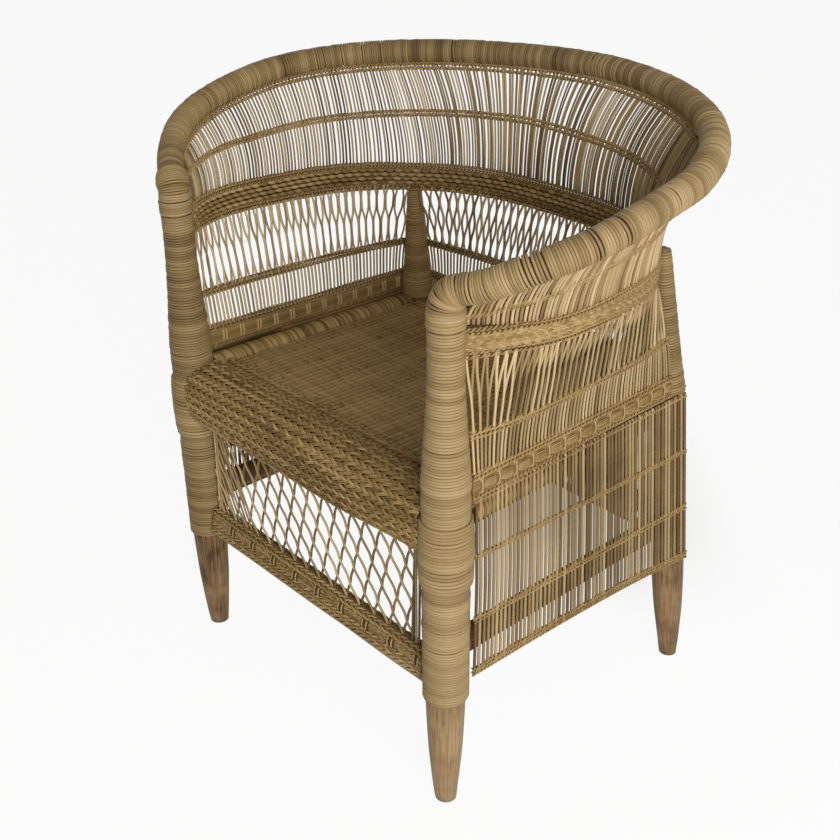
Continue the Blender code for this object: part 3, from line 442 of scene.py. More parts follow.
def mid_side(t, z):
    t, z = np.broadcast_arrays(np.asarray(t, float), np.asarray(z, float))
    p = lerp(mid_front(z), mid_post(z), t[..., None])
    p[..., 0] += lerp(*MID_SIDE_BULGE, mid_share(z)) * (1.0 - np.abs(2.0 * t - 1.0) ** MID_ROUND)
    return p


def mid_back(t, z):
    t, z = np.broadcast_arrays(np.asarray(t, float), np.asarray(z, float))
    post = mid_post(z)
    bulge = lerp(*MID_BACK_BULGE, mid_share(z))
    return stack(post[..., 0] * t, post[..., 1] + bulge * (1.0 - np.abs(t) ** MID_ROUND), z)


def half_hoop():
    """Right half of the hoop's centre line, from the front end of the formula to the middle of the back."""
    y = lerp(HOOP_FY, HOOP_Y0, np.linspace(0.0, 1.0, 300, endpoint=False) ** 1.4)
    reach = (HOOP_Y0 - y) / (HOOP_Y0 - HOOP_FY)
    arm = np.stack([HOOP_FX + (HOOP_A - HOOP_FX) * (1.0 - reach ** HOOP_Q), y], -1)
    a = np.linspace(0.0, 0.5 * math.pi, 400)
    back = np.stack([HOOP_A * np.maximum(np.cos(a), 0.0) ** (2.0 / HOOP_N),
                     HOOP_Y0 + HOOP_B * np.sin(a) ** (2.0 / HOOP_N)], -1)
    plan = np.concatenate([arm, back])
    s = arc(plan)
    s /= s[-1]
    rise = 1.0 - (1.0 - s) ** HOOP_M
    return s, np.column_stack([plan, lerp(HOOP_FZ, HOOP_BZ, rise)])


HALF_S, HALF = half_hoop()


def hoop_half(part):
    return sample(part, HALF_S, HALF)


def hoop_path():
    """Centre line of the whole hoop, with a bend from each front post into the arm."""
    foot = front_axis(HOOP_FOOT_Z)
    neck = front_axis(HOOP_NECK_Z)
    arm = hoop_half(ARM_JOIN)
    ahead = unit(hoop_half(ARM_JOIN + 0.01) - arm)
    span = np.linalg.norm(arm - neck)
    t = np.linspace(0.0, 1.0, 40)[:, None]
    u = 1.0 - t
    bend = neck * u ** 3 + (neck + ELBOW_RISE * span * UP) * (3 * u * u * t)
    bend = bend + (arm - ELBOW_REACH * span * ahead) * (3 * u * t * t) + arm * t ** 3
    rest = hoop_half(np.linspace(ARM_JOIN, 1.0, 300))[1:]
    half = np.concatenate([[foot, lerp(foot, neck, 0.5)], bend, rest])
    full = resample(np.concatenate([half, (half * FLIP)[::-1][1:]]), HOOP_POINTS)
    reach = 14
    kernel = blur(3.0, reach)
    padded = np.concatenate([np.repeat(full[:1], reach, 0), full, np.repeat(full[-1:], reach, 0)])
    smooth = np.stack([np.convolve(padded[:, k], kernel, "valid") for k in range(3)], -1)
    smooth[0] = full[0]
    smooth[-1] = full[-1]
    return resample(smooth, HOOP_POINTS)


HOOP = hoop_path()


def transport(points):
    """Tangents, rotation-free normals and their cross products along a path."""
    t = unit(np.gradient(points, axis=0))
    n = np.zeros_like(points)
    n[0] = unit(np.cross(t[0], np.array([0.0, 1.0, 0.0])))
    for i in range(1, len(points)):
        v = n[i - 1] - np.dot(n[i - 1], t[i]) * t[i]
        n[i] = v / np.linalg.norm(v)
    return t, n, np.cross(t, n)


class Surf:
    """A wall as a grid of points; u runs along it and v up it, both 0 to 1."""

    def __init__(self, grid):
        self.g = grid
        self.rows, self.cols, _ = grid.shape
        self.n = unit(np.cross(np.gradient(grid, axis=1), np.gradient(grid, axis=0)))
        s = arc(grid[self.rows // 2])
        self.length = s[-1]
        self.even = s / s[-1]

    def _pick(self, data, u, v):
        u, v = np.broadcast_arrays(np.asarray(u, float), np.asarray(v, float))
        x = np.interp(np.clip(u, 0, 1), self.even, np.arange(self.cols))
        y = np.clip(v, 0, 1) * (self.rows - 1)
        i = np.minimum(x.astype(int), self.cols - 2)
        j = np.minimum(y.astype(int), self.rows - 2)
        a = (x - i)[..., None]
        b = (y - j)[..., None]
        low = data[j, i] * (1 - a) + data[j, i + 1] * a
        high = data[j + 1, i] * (1 - a) + data[j + 1, i + 1] * a
        return low * (1 - b) + high * b

    def at(self, u, v, lift=0.0):
        p = self._pick(self.g, u, v)
        if np.any(lift):
            p = p + self.normal(u, v) * np.asarray(lift, float)[..., None]
        return p

    def normal(self, u, v):
        return unit(self._pick(self.n, u, v))

    def mirror(self):
        other = Surf(self.g * FLIP)
        other.n = self.n * FLIP
        return other


def ladder_end():
    """Where the ladder band meets the back post, halfway round from its front to its outer side."""
    inset = (back_wrap(BACK_CANE_FOOT) + 0.0028) * DIAGONAL
    axis = back_axis(LADDER_LOW)
    return axis[0] + inset, axis[1] - inset


def ladder_x(y):
    first = front_axis(LADDER_HIGH)[1] + front_wrap(0.43) + FRONT_GAP
    last_x, last_y = ladder_end()
    return lerp(LADDER_FRONT_X, last_x, (y - first) / (last_y - first))


def wall_share(z):
    """How far a wall has gone over from the ladder band's line to the middle band's."""
    return np.clip((z - LADDER_HIGH) / (MID_LOW - LADDER_HIGH), 0.0, 1.0) ** WALL_BEND


def side_wall(end):
    """Right wall from the ladder band's foot to the middle band, ending beside the back post's axis."""
    z = np.linspace(LADDER_LOW, MID_LOW, 41)[:, None]
    t = np.linspace(0.0, 1.0, 81)[None, :]
    share = wall_share(z)
    beside = lerp(LADDER_FRONT_X, MID_FRONT_X, share) - FRONT_X
    first = front_axis(z)[..., 1] + np.sqrt(front_wrap(z) ** 2 - beside ** 2) + 0.0010
    last = back_axis(z)[..., 1] - back_wrap(np.maximum(z, BACK_CANE_FOOT)) * end
    y = lerp(first, last, t)
    a = mid_front(MID_LOW)[1]
    b = mid_post(MID_LOW)[1]
    high = mid_side(np.clip((y - a) / (b - a), 0.0, 1.0), MID_LOW)[..., 0]
    return Surf(stack(lerp(ladder_x(y), high, share), y, z))


def back_wall():
    z = np.linspace(LADDER_LOW, MID_LOW, 41)[:, None]
    t = np.linspace(1.0, -1.0, 91)[None, :]
    x = (back_axis(z)[..., 0] - back_wrap(z) * 0.55) * t
    high = mid_back(np.clip(x / mid_post(MID_LOW)[0], -1.0, 1.0), MID_LOW)[..., 1]
    low = back_axis(0.5 * (LADDER_LOW + LADDER_HIGH))[1] + BACK_LADDER_SET
    return Surf(stack(x, lerp(low, high, wall_share(z)), z))


ALONG_SIDE = np.linspace(0.0, 1.0, 150)
ALONG_BACK = np.linspace(1.0, -1.0, 180)


def ring(side, back):
    """Right side, back and mirrored left side as one row of points."""
    return np.concatenate([side, back[1:-1], (side * FLIP)[::-1]])


def smooth_rows(grid, sigma):
    """Rounds the crease that the rows have at the back posts."""
    half = int(sigma * 3)
    kernel = blur(sigma, half)
    padded = np.concatenate([np.repeat(grid[:, :1], half, 1), grid, np.repeat(grid[:, -1:], half, 1)], 1)
    out = np.zeros_like(grid)
    for j in range(grid.shape[0]):
        for k in range(3):
            out[j, :, k] = np.convolve(padded[j, :, k], kernel, "valid")
    out[:, 0] = grid[:, 0]
    out[:, -1] = grid[:, -1]
    return out


def mid_wall():
    levels = np.linspace(MID_LOW, MID_HIGH, 13)
    rows = [ring(mid_side(ALONG_SIDE, z), mid_back(ALONG_BACK, z)) for z in levels]
    return Surf(smooth_rows(np.array(rows), 3.0))


FLARE_START = 0.055
FLARE_POST = 0.598
FLARE_BEND = 2.4
CORNER_EASE = 0.7
CORNER_WIDTH = 0.25


def flare_bend(from_corner):
    """The flare leaves the middle band straighter at the back corners."""
    return FLARE_BEND - CORNER_EASE * np.exp(-(from_corner / CORNER_WIDTH) ** 2)


def flare_wall():
    low = ring(mid_side(ALONG_SIDE, MID_HIGH), mid_back(ALONG_BACK, MID_HIGH))
    back_hoop = hoop_half(lerp(1.0, FLARE_POST, np.abs(ALONG_BACK)))
    back_hoop[:, 0] *= np.sign(ALONG_BACK)
    hoop = ring(hoop_half(lerp(FLARE_START, FLARE_POST, ALONG_SIDE)), back_hoop)
    out = unit(np.cross(unit(np.gradient(hoop, axis=0)), UP))
    side_bend = flare_bend(1.0 - ALONG_SIDE)
    back_bend = flare_bend(1.0 - np.abs(ALONG_BACK))
    bend = np.concatenate([side_bend, back_bend[1:-1], side_bend[::-1]])[:, None]
    reach = HOOP_R + 0.001
    top = hoop - out * reach * 0.62 - UP * reach * 0.80
    rows = []
    for v in np.linspace(0.0, 1.0, 25):
        row = lerp(low, top, v ** bend)
        row[:, 2] = lerp(low[:, 2], top[:, 2], v)
        rows.append(row)
    return Surf(smooth_rows(np.array(rows), 4.0))


SIDE = side_wall(0.72)
SIDE_L = side_wall(0.45).mirror()
BACK = back_wall()
MID = mid_wall()
FLARE = flare_wall()


# Shapes of the skirts: the rows' heights at the front and at the back

SKIRT_ROWS = [(0.178, 0.163), (0.249, 0.238), (0.330, 0.320), (0.382, 0.382), (0.4035, 0.4035)]
SKIRT_FRONT_X = 0.2515
SKIRT_FRONT_Y = -0.2055
SKIRT_GAP = 0.0030
SKIRT_TURN_Z = 0.30
BACK_ROLL_R = 0.020


def skirt_share(z):
    return np.clip((z - SKIRT_TURN_Z) / 0.10, 0.0, 1.0)


def side_rail_x(y):
    a = front_axis(SIDE_RAIL_Z)
    b = back_axis(SIDE_RAIL_Z)
    return lerp(a[0], b[0], (y - a[1]) / (b[1] - a[1]))


def skirt_back_y(z):
    """The back skirt hangs clear of the legs and, higher up, of the seat's back roll."""
    leg = back_axis(z)[..., 1] + profile(BACK_BARE, z) + SKIRT_GAP
    roll = back_axis(BACK_RAIL_Z)[1] + BACK_ROLL_R + SKIRT_GAP
    over = np.maximum(leg, lerp(leg, roll, np.clip((z - SKIRT_TURN_Z) / 0.05, 0, 1)))
    return np.where(z > SKIRT_TURN_Z, over, leg)


def skirt_corner_x(z):
    return back_axis(z)[..., 0] + profile(BACK_BARE, z) + SKIRT_GAP


def skirt_levels():
    """Heights of the skirt at the front and at the back, with the place among its rows."""
    for f in np.linspace(0.0, len(SKIRT_ROWS) - 1.0, 49):
        k = min(int(f), len(SKIRT_ROWS) - 2)
        low, high = SKIRT_ROWS[k], SKIRT_ROWS[k + 1]
        yield f, lerp(low[0], high[0], f - k), lerp(low[1], high[1], f - k)


def skirt_side():
    t = np.linspace(0.0, 1.0, 81)
    rows = []
    for f, front, back in skirt_levels():
        z = lerp(front, back, t ** (3.0 - 2.0 * min(f, 1.0)))
        y = lerp(SKIRT_FRONT_Y, back_axis(z)[..., 1] + CORNER_REACH, t)
        x = lerp(lerp(SKIRT_FRONT_X, LADDER_FRONT_X, skirt_share(z)), skirt_corner_x(z), t)
        rows.append(stack(x, y, z))
    return Surf(np.array(rows))


def skirt_back():
    t = np.linspace(1.0, -1.0, 91)
    rows = []
    for _, _, z in skirt_levels():
        rows.append(stack((back_axis(z)[0] + CORNER_REACH) * t, skirt_back_y(np.array(z)), z))
    return Surf(np.array(rows))


SKIRT = skirt_side()
SKIRT_L = SKIRT.mirror()
SKIRT_B = skirt_back()


# Strand patterns

TONE_KNOT = 0.05
TWINE_SIDES = 5
PLY_PITCH = 1.85
STAKE_FLAT = 0.9
STAKE_ABOVE = 0.008
PAIR_TOUCH = 0.0010
PAIR_POINTS = 29
TURN_UNEVEN = 0.16
TURN_WOBBLE = 0.00025
OPEN_TURN = 0.65
WOUND_SIDES = 8
WOUND_FLAT = 0.85


def twine(bundle, path, normal, radius=0.00145, swing=0.0015, rise=0.0012, pitch=0.0115, hand=1.0, phase=0.0,
          per=8, spread=0.5, bright=0.0, ply=1, square=1.0, bead=0.0, flat=1.0):
    """Two strands, or two flat groups of strands, twisted round each other along a path.

    They swing in and out of the wall and rise and fall along it. Square and flat below 1 make these waves
    squarer, and bead is the share of its thickness that a strand loses where the two change places.
    """
    s = arc(path)
    count = max(int(s[-1] / pitch * per), 6)
    q = np.linspace(0.0, s[-1], count)
    p = sample(q, s, path)
    n = unit(sample(q, s, np.broadcast_to(normal, path.shape)))
    t = unit(np.gradient(p, axis=0))
    n = unit(n - (n * t).sum(1, keepdims=True) * t)
    b = np.cross(t, n)
    knots = max(int(s[-1] / TONE_KNOT), 2)
    for k in range(2):
        a = hand * TURN * q / pitch + phase + math.pi * k
        depth = signed_power(np.cos(a), flat)
        line = p + n * (swing * depth)[:, None] + b * (rise * signed_power(np.sin(a), square))[:, None]
        shade = np.interp(q / s[-1], np.linspace(0.0, 1.0, knots), RNG.random(knots))
        tone = 0.5 + bright + spread * (shade - 0.5)
        across = unit(np.cross(unit(np.gradient(line, axis=0)), n))
        thick = radius * (1.0 - bead + bead * np.abs(depth))
        for j in range(ply):
            shift = (j - 0.5 * (ply - 1)) * PLY_PITCH * radius
            ply_tone = tone - 0.15 * j
            bundle.strand(line + across * shift, n, thick, thick * 0.95, TWINE_SIDES, ply_tone, per * 6)


def surf_twine(bundle, surf, v, lift=0.0, wander=0.0, **keys):
    """A twined row along a wall at the height v, straying up and down by the share wander."""
    u = np.linspace(0.0, 1.0, 400)
    level = value(v, u)
    stray = wander * np.interp(u, np.linspace(0, 1, 23), RNG.standard_normal(23))
    twine(bundle, surf.at(u, level + stray, lift), surf.normal(u, level), **keys)


def twine_rows(bundle, surf, v_mid, v_step, rows, shade_strip, **keys):
    """Twined rows side by side; the argument after rows is the half width of the dark strip behind each row's
    holes, which is painted shade.
    """
    u = np.linspace(0.0, 1.0, 200)
    for k in range(rows):
        shift = (k - (rows - 1) / 2.0) * v_step
        phase = RNG.random() * 6.28
        surf_twine(bundle, surf, lambda u: value(v_mid, u) + shift, hand=-1.0, phase=phase, **keys)
        # Painted shade: a dark strip behind the row, seen through its holes
        bundle.lay(surf, u, value(v_mid, u) + shift, shade_strip, 0.0005, -0.3, sides=4, chunk=25)


def stakes(bundle, surf, count, v0, v1, radius, u0=0.0, u1=1.0, jitter=0.25, lean=0.0, points=8, lift=0.0,
           spread=1.0, bright=0.0):
    """Upright stakes side by side along a wall; lean gives how many places they shift from foot to head."""
    pitch = (u1 - u0) / count
    tone = tones(count, spread) + bright
    v = np.linspace(v0, v1, points)
    for i in range(count):
        base = u0 + (i + 0.5 + jitter * (RNG.random() - 0.5) * 2.0) * pitch
        slant = value(lean, base) + jitter * (RNG.random() - 0.5)
        drift = slant * pitch * np.linspace(-0.5, 0.5, points)
        bow = 0.6 * jitter * pitch * (RNG.random() - 0.5) * np.sin(np.linspace(0, math.pi, points))
        u = np.clip(base + drift + bow, u0, u1)
        r = radius * (1.0 + 1.2 * jitter * (RNG.random() - 0.5))
        bundle.lay(surf, u, v, r, r * STAKE_FLAT, tone[i], lift + 0.0006 * (RNG.random() - 0.5))


def crossed(bundle, surf, pairs, v0, v1, radius, share, calm=None, crowd=0.0, slant=None, bright=0.0,
            ends=(0.0, 1.0)):
    """Stakes in pairs that part and meet on their way up.

    Share(f, place) is 0 where a pair meets, 1 where both meet their other neighbours, and more past them. The
    pairs stand closer at the front by the share crowd, and slant(place) shifts their heads along the wall.
    Where calm(place) is 1 they stand straight. Above the wall's edge they go on straight.
    """
    v = np.linspace(v0, v1, PAIR_POINTS)
    f = np.linspace(0.0, 1.0, PAIR_POINTS)
    near = PAIR_TOUCH / surf.length
    tone = tones(2 * pairs + 2) + bright
    for i in range(pairs + 1):
        place = i / pairs
        pitch = (1.0 - crowd + 2.0 * crowd * place) / pairs
        middle = place * (1.0 - crowd + crowd * place)
        if slant is not None:
            middle = middle + slant(place) * f
        far = pitch / 2.0 - near
        close = share(f + 0.05 * (RNG.random() - 0.5), place)
        if calm is not None:
            close = lerp(close, 0.5, calm(place))
        for k, way in enumerate((-1.0, 1.0)):
            if (i == 0 and way < 0) or (i == pairs and way > 0):
                continue
            shift = 0.06 * pitch * (RNG.random() - 0.5)
            u = np.clip(lerp(*ends, middle + way * lerp(near, far, close) + shift), *ends)
            r = radius * (0.92 + 0.16 * RNG.random())
            line = surf.at(u, v, 0.0014 * way * np.sin(math.pi * f))
            line = np.concatenate([line, [line[-1] + STAKE_ABOVE * unit(line[-1] - line[-2])]])
            normal = surf.normal(u, v)
            normal = np.concatenate([normal, normal[-1:]])
            bundle.strand(line, normal, r, r * STAKE_FLAT, 6, tone[2 * i + k])


def wind(bundle, path, radius, pitch, half_width, half_thick, per=20, gap_chance=0.03, gap=0.35,
         tone_spread=0.6, open_at=(), shade=0.0):
    """Cane wound round a path, turn by turn, with uneven turns and a few open gaps."""
    s = arc(path)
    t, n, b = transport(path)
    bend = np.linalg.norm(np.gradient(t, axis=0), axis=1) / np.gradient(s)
    swell = bend * value(radius, s)
    outer = np.concatenate([[0.0], np.cumsum(np.diff(s) * (1.0 + 0.5 * swell[1:] + 0.5 * swell[:-1]))])
    turns = int(outer[-1] / pitch)
    steps = pitch * (1.0 + TURN_UNEVEN * (RNG.random(turns) - 0.5))
    steps = steps + pitch * gap * (RNG.random(turns) < gap_chance)
    for place in open_at:
        steps[int(np.interp(place, s, outer) / pitch)] += OPEN_TURN * pitch
    ends = np.concatenate([[0.0], np.cumsum(steps)])
    ends *= (outer[-1] - 2 * half_width) / ends[-1]
    ends += half_width
    whole = np.arange(turns + 1)
    k = np.arange(turns * per + 1) / per
    q = np.interp(np.interp(k, whole, ends), outer, s)
    a = TURN * k
    radial = unit(sample(q, s, n)) * np.cos(a)[:, None] + unit(sample(q, s, b)) * np.sin(a)[:, None]
    wobble = TURN_WOBBLE * np.interp(k, whole, RNG.standard_normal(turns + 1))
    r = value(radius, q) + wobble - half_thick
    tone = np.interp(k, whole, tones(turns + 1, tone_spread)) - value(shade, q)
    line = sample(q, s, path) + radial * r[:, None]
    bundle.strand(line, radial, half_width, half_thick, WOUND_SIDES, tone, per, WOUND_FLAT)


# Posts, legs and their windings

LEG_COUNT = 40
LEG_RINGS = 60
# Painted light and shade: the front right leg is lighter than the other three, which stand in more shade
LEG_TONE = {"front_right": -0.76, "front_left": -1.12, "back_right": -1.10, "back_left": -1.10}
# Painted shade: the left front post's cane is darker than the right one's
POST_PAINTED_SHADE = {"right": 0.0, "left": 0.22}
BACK_POST_SHADE = {"right": 0.12, "left": -0.15}
BACK_POST_LOOK = {"right": WRAP, "left": BAND}
POST_WIND = dict(pitch=0.0033, half_width=0.00160, half_thick=0.0012)
LASH_WIND = dict(pitch=0.0042, half_width=0.0020, half_thick=0.0017, gap_chance=0.25)
COLLAR_WIND = dict(pitch=0.0036, half_width=0.00176, half_thick=0.0016)
COLLAR_R = 0.0199


def lathe(bundle, rows, axis, side, high, tone, uneven):
    """A turned leg, not quite round, from the floor to its top."""
    z = np.linspace(0.0, high, LEG_RINGS)
    radius = profile(rows, z)
    kernel = np.array([1, 2, 3, 2, 1]) / 9.0
    padded = np.concatenate([np.repeat(radius[:1], 2), radius, np.repeat(radius[-1:], 2)])
    inner = np.convolve(padded, kernel, "valid")
    inner[0] = radius[0]
    inner[-1] = radius[-1]
    a = TURN * np.arange(LEG_COUNT) / LEG_COUNT
    ripple = np.zeros((LEG_RINGS, LEG_COUNT))
    for m in range(2, 6):
        size = uneven * RNG.standard_normal()
        ripple += size * np.cos(m * a[None, :] + RNG.random() * 6.28 + 3.0 * z[:, None])
    ripple *= np.clip(z / 0.02, 0.0, 1.0)[:, None]
    r = inner[:, None] + ripple
    points = axis(z)[:, None, :] + np.stack([r * np.cos(a), r * np.sin(a), np.zeros_like(r)], -1)
    if side < 0:
        points = (points * FLIP)[:, ::-1]
    bottom = np.repeat(points[:1].mean(1, keepdims=True), LEG_COUNT, 1)
    top = np.repeat(points[-1:].mean(1, keepdims=True), LEG_COUNT, 1)
    bundle.grid(np.concatenate([bottom, points, top]), tone)


def back_post_radius(q):
    """The back posts' cane is a little thicker near its foot."""
    return back_wrap(BACK_CANE_Z[0] + q) + 0.0012 * np.exp(-((q - 0.018) / 0.014) ** 2)


def lashing_radius(q):
    return 0.0285 + 0.0020 * np.sin(math.pi * q / LASHING_LENGTH)


for side, word in SIDES:
    for place, rows, axis, high, uneven in (("front", FRONT_BARE, front_axis, FRONT_TOP, 0.0004),
                                            ("back", BACK_BARE, back_axis, BACK_TOP, 0.0005)):
        leg = Bundle("leg_%s_%s" % (place, word))
        lathe(leg, rows, axis, side, high, LEG_TONE["%s_%s" % (place, word)], uneven)
        leg.build(WOOD, "leg_wood", ("%s_leg_%s" % (place, word),))

    cane = Bundle("post_cane_front_" + word)
    wind(cane, mirror(front_axis(np.linspace(*FRONT_CANE_Z, 240)), side),
         lambda q: front_wrap(FRONT_CANE_Z[0] + q), shade=POST_PAINTED_SHADE[word], **POST_WIND)
    cane.build(WRAP, "post_cane", ("front_leg_wrap_" + word,))

    cane = Bundle("post_cane_back_" + word)
    wind(cane, mirror(back_axis(np.linspace(*BACK_CANE_Z, 120)), side), back_post_radius,
         shade=BACK_POST_SHADE[word], **POST_WIND)
    cane.build(BACK_POST_LOOK[word], "post_cane", ("back_leg_wrap_" + word,))

    lash = Bundle("lashing_" + word)
    wind(lash, mirror(front_axis(np.linspace(*LASHING_Z, 80)), side), lashing_radius, **LASH_WIND)
    lash.build(WRAP, "hoop_cane", ("joint_lashing_" + word,))

    collar = Bundle("collar_" + word)
    wind(collar, mirror(front_axis(np.linspace(*COLLAR_Z, 40)), side), COLLAR_R, **COLLAR_WIND)
    collar.build(WRAP, "hoop_cane", ("hoop_collar_" + word,))


# Winding of the hoop

HALF_LENGTH = 0.5 * np.linalg.norm(np.diff(HOOP, axis=0), axis=1).sum()
OPEN_TURNS_RIGHT = (0.0060, 0.0120, 0.0180, 0.0240, 0.0310, 0.0829, 0.0896, 0.0979, 0.1480, 0.1720, 0.2350,
                    0.3100, 0.3180)
OPEN_TURNS_LEFT = (0.20, 0.43, 0.56)
# Painted shade: how much darker the hoop's cane is at the back
HOOP_PAINTED_SHADE = 0.26
HOOP_WIND = dict(pitch=0.0032, half_width=0.00150, half_thick=0.0014, per=18, gap_chance=0.06,
                 tone_spread=0.8)


def hoop_radius(from_post):
    """The winding is as thick as the post at its foot and thins out along the arm."""
    return HOOP_R + 0.0006 + 0.0036 * (1.0 - ease(from_post / 0.030))


def left_radius(q):
    """The left end has one more binding over the bend."""
    from_post = HALF_LENGTH - q
    return hoop_radius(from_post) + 0.0034 * np.exp(-((from_post - 0.024) / 0.0095) ** 4)


def right_shade(q):
    """Painted shade: the hoop's cane is darker and browner towards the back."""
    return HOOP_PAINTED_SHADE * ease((q - 0.42) / 0.20)


# Painted shade on the left half: darkest at the back, and still a little darker along the left arm
def left_shade(q):
    return HOOP_PAINTED_SHADE - 0.16 * ease((q - 0.20) / 0.20)


for word, path, reach, shade, open_at in (
        ("right", HOOP[:451], hoop_radius, right_shade, OPEN_TURNS_RIGHT),
        ("left", HOOP[449:], left_radius, left_shade, OPEN_TURNS_LEFT)):
    cane = Bundle("hoop_cane_" + word)
    wind(cane, path, reach, open_at=open_at, shade=shade, **HOOP_WIND)
    cane.build(WRAP, "hoop_cane", ("hoop_wrap",))


# Flared screen

SIDE_SHARE = 0.30
FLARE_SIDE_PITCH = 0.0047
FLARE_BACK_PITCH = 0.0040
FLARE_TWINE = dict(radius=0.00122, swing=0.0014, rise=0.0014, pitch=0.0104, shade_strip=0.0015, bright=0.15,
                   square=0.7, per=10)
FLARE_TOP_V = 0.975
FLARE_ROW_STEP = 0.040


def flare_lean(u):
    """The right side's stakes lean back."""
    return 4.5 * ease((u - 0.02) / 0.10)


def flare_row(u):
    """Height of the flare's middle rows, which drop towards the right post and climb at the left one."""
    return np.interp(u, (0.0, 0.03, 0.085, 0.20, 0.385, 0.55, 0.75, 0.87, 0.944, 1.0),
                     (0.19, 0.32, 0.39, 0.38, 0.488, 0.545, 0.515, 0.537, 0.61, 0.72))


flare = Bundle("flare_stakes")
side_count = int(SIDE_SHARE * FLARE.length / FLARE_SIDE_PITCH)
back_count = int((1.0 - 2.0 * SIDE_SHARE) * FLARE.length / FLARE_BACK_PITCH)
# Painted light and shade: bright lightens the right side's outer stakes and darkens its inner layer, the back
# and the left side
for count, radius, u0, u1, keys in (
        (side_count, 0.00175, 0.0, SIDE_SHARE, dict(jitter=0.14, lean=flare_lean, bright=0.1)),
        (side_count, 0.00180, 0.0, SIDE_SHARE,
         dict(jitter=0.20, lean=flare_lean, lift=-0.0030, bright=-0.25)),
        (back_count, 0.00136, SIDE_SHARE, 1.0 - SIDE_SHARE, dict(jitter=0.26, bright=-0.15)),
        (side_count, 0.00136, 1.0 - SIDE_SHARE, 0.994, dict(jitter=0.14, bright=-0.2))):
    stakes(flare, FLARE, count, 0.0, 1.0, radius, u0, u1, points=10, **keys)
flare.build(STAKE, "stake_cane", ("flare_right_front", "flare_right_rear", "flare_back_right",
                                  "flare_back_left", "flare_left_rear", "flare_left_front"))
rows = Bundle("flare_twine")
twine_rows(rows, FLARE, flare_row, FLARE_ROW_STEP, 2, **FLARE_TWINE)
twine_rows(rows, FLARE, FLARE_TOP_V, FLARE_ROW_STEP, 2, **FLARE_TWINE)
rows.build(BAND, "band_cane")


# Middle band

BRICK = dict(lift=-0.0012, radius=0.0031, swing=0.0021, rise=0.0004, pitch=0.0240, per=18, spread=0.8,
             bright=0.05, bead=0.75, flat=0.7)
FINE_ROW = dict(lift=0.0011, radius=0.0012, swing=0.0007, rise=0.0006, pitch=0.0110, spread=1.0, bright=0.25)


def mid_low(u):
    """Lower edge of the middle band, a little higher along the right arm."""
    return 0.05 + 0.15 * np.interp(u, (0.0, 0.04, 0.12, 0.22), (0.0, 1.0, 1.0, 0.0))


def mid_high(u):
    """Upper edge of the middle band, lower at the right post."""
    return 0.95 - 0.16 * np.interp(u, (0.0, 0.045), (1.0, 0.0))


def mid_level(f):
    """A line at the share f of the middle band's height."""
    return lambda u: lerp(mid_low(u), mid_high(u), f)


mid = Bundle("mid_band_plait")
u = np.linspace(0.0, 1.0, 500)
for f in np.linspace(0.10, 0.90, 9):
    mid.lay(MID, u, mid_level(f)(u), 0.0024, 0.0009, -0.2 + 0.2 * RNG.random(), chunk=25)
for k, f in enumerate((0.28, 0.45, 0.62, 0.79)):
    surf_twine(mid, MID, mid_level(f), phase=1.57 * k, **BRICK)
mid.build(BAND, "band_cane", ("mid_band_right", "mid_band_back", "mid_band_left"))
mid = Bundle("mid_band_outer")
for k, f in enumerate(np.linspace(0.28, 0.80, 9)):
    surf_twine(mid, MID, mid_level(f), phase=2.1 * k, hand=hand_of(k), **FINE_ROW)
mid.build(BAND, "band_cane")
rows = Bundle("mid_band_twine")
twine_rows(rows, MID, lambda u: mid_low(u) + 0.06, 0.135, 2, **FLARE_TWINE)
twine_rows(rows, MID, lambda u: mid_high(u) - 0.04, 0.125, 2, **FLARE_TWINE)
rows.build(BAND, "band_cane")


# Screens above the seat; V_MM is a millimetre of a screen's height

V_MM = 0.001 / (MID_LOW - LADDER_LOW)
LADDER_V = (LADDER_HIGH - LADDER_LOW) / (MID_LOW - LADDER_LOW)
NARROW_V = (NARROW_Z - LADDER_LOW) / (MID_LOW - LADDER_LOW)
SKIRT_ROW = dict(radius=0.00116, swing=0.0014, rise=0.0014, pitch=0.0112, shade_strip=0.0015, bright=0.05,
                 square=0.7, per=10)
WALL_ROW = dict(SKIRT_ROW, radius=0.00132, rise=0.0018, pitch=0.0120, shade_strip=0.0018)


def wall_rows(name, surf, node_name, bright):
    """Twined rows of a screen: the narrow band, and the ladder's upper and lower edges."""
    band = Bundle(name)
    look = dict(WALL_ROW, bright=bright)
    twine_rows(band, surf, NARROW_V, 5.2 * V_MM, 2, **look)
    twine_rows(band, surf, LADDER_V - 0.2 * V_MM, 5.0 * V_MM, 2, **look)
    twine_rows(band, surf, 0.6 * V_MM, 0.0, 1, **look)
    band.build(BAND, "band_cane", (node_name,))


def quiet_end(f):
    """The last stakes before the back post stand straight."""
    return ease((f - 0.80) / 0.12)


def right_share(f, place):
    """The right wall's stakes leave their partner at the top and cross the next pair's halfway down."""
    return np.interp(f, (0.0, 0.40, 0.54, 0.88, 1.0), (1.5, 1.10, 0.92, 0.14, 0.0))


def left_share(f, place):
    """The left wall's stakes go over to their other neighbours above the middle."""
    cross = lerp(0.66, 0.57, place)
    return 0.5 - 0.5 * ease(f / 0.28) + ease((f - cross + 0.14) / 0.27) - 0.35 * ease((f - 0.88) / 0.12)


def back_share(f, place):
    """The back's stakes make two rows of open cells."""
    return 0.5 - 0.5 * np.cos(TURN * (f - 0.20) / 0.60)


def mid_wall_share(u):
    """1 along the middle of a side wall, 0 at its ends."""
    return ease((u - 0.10) / 0.30) * (1.0 - ease((u - 0.70) / 0.28))


def along_middle(most):
    """A shift that is greatest along the middle of a side wall."""
    return lambda u: most * mid_wall_share(u)
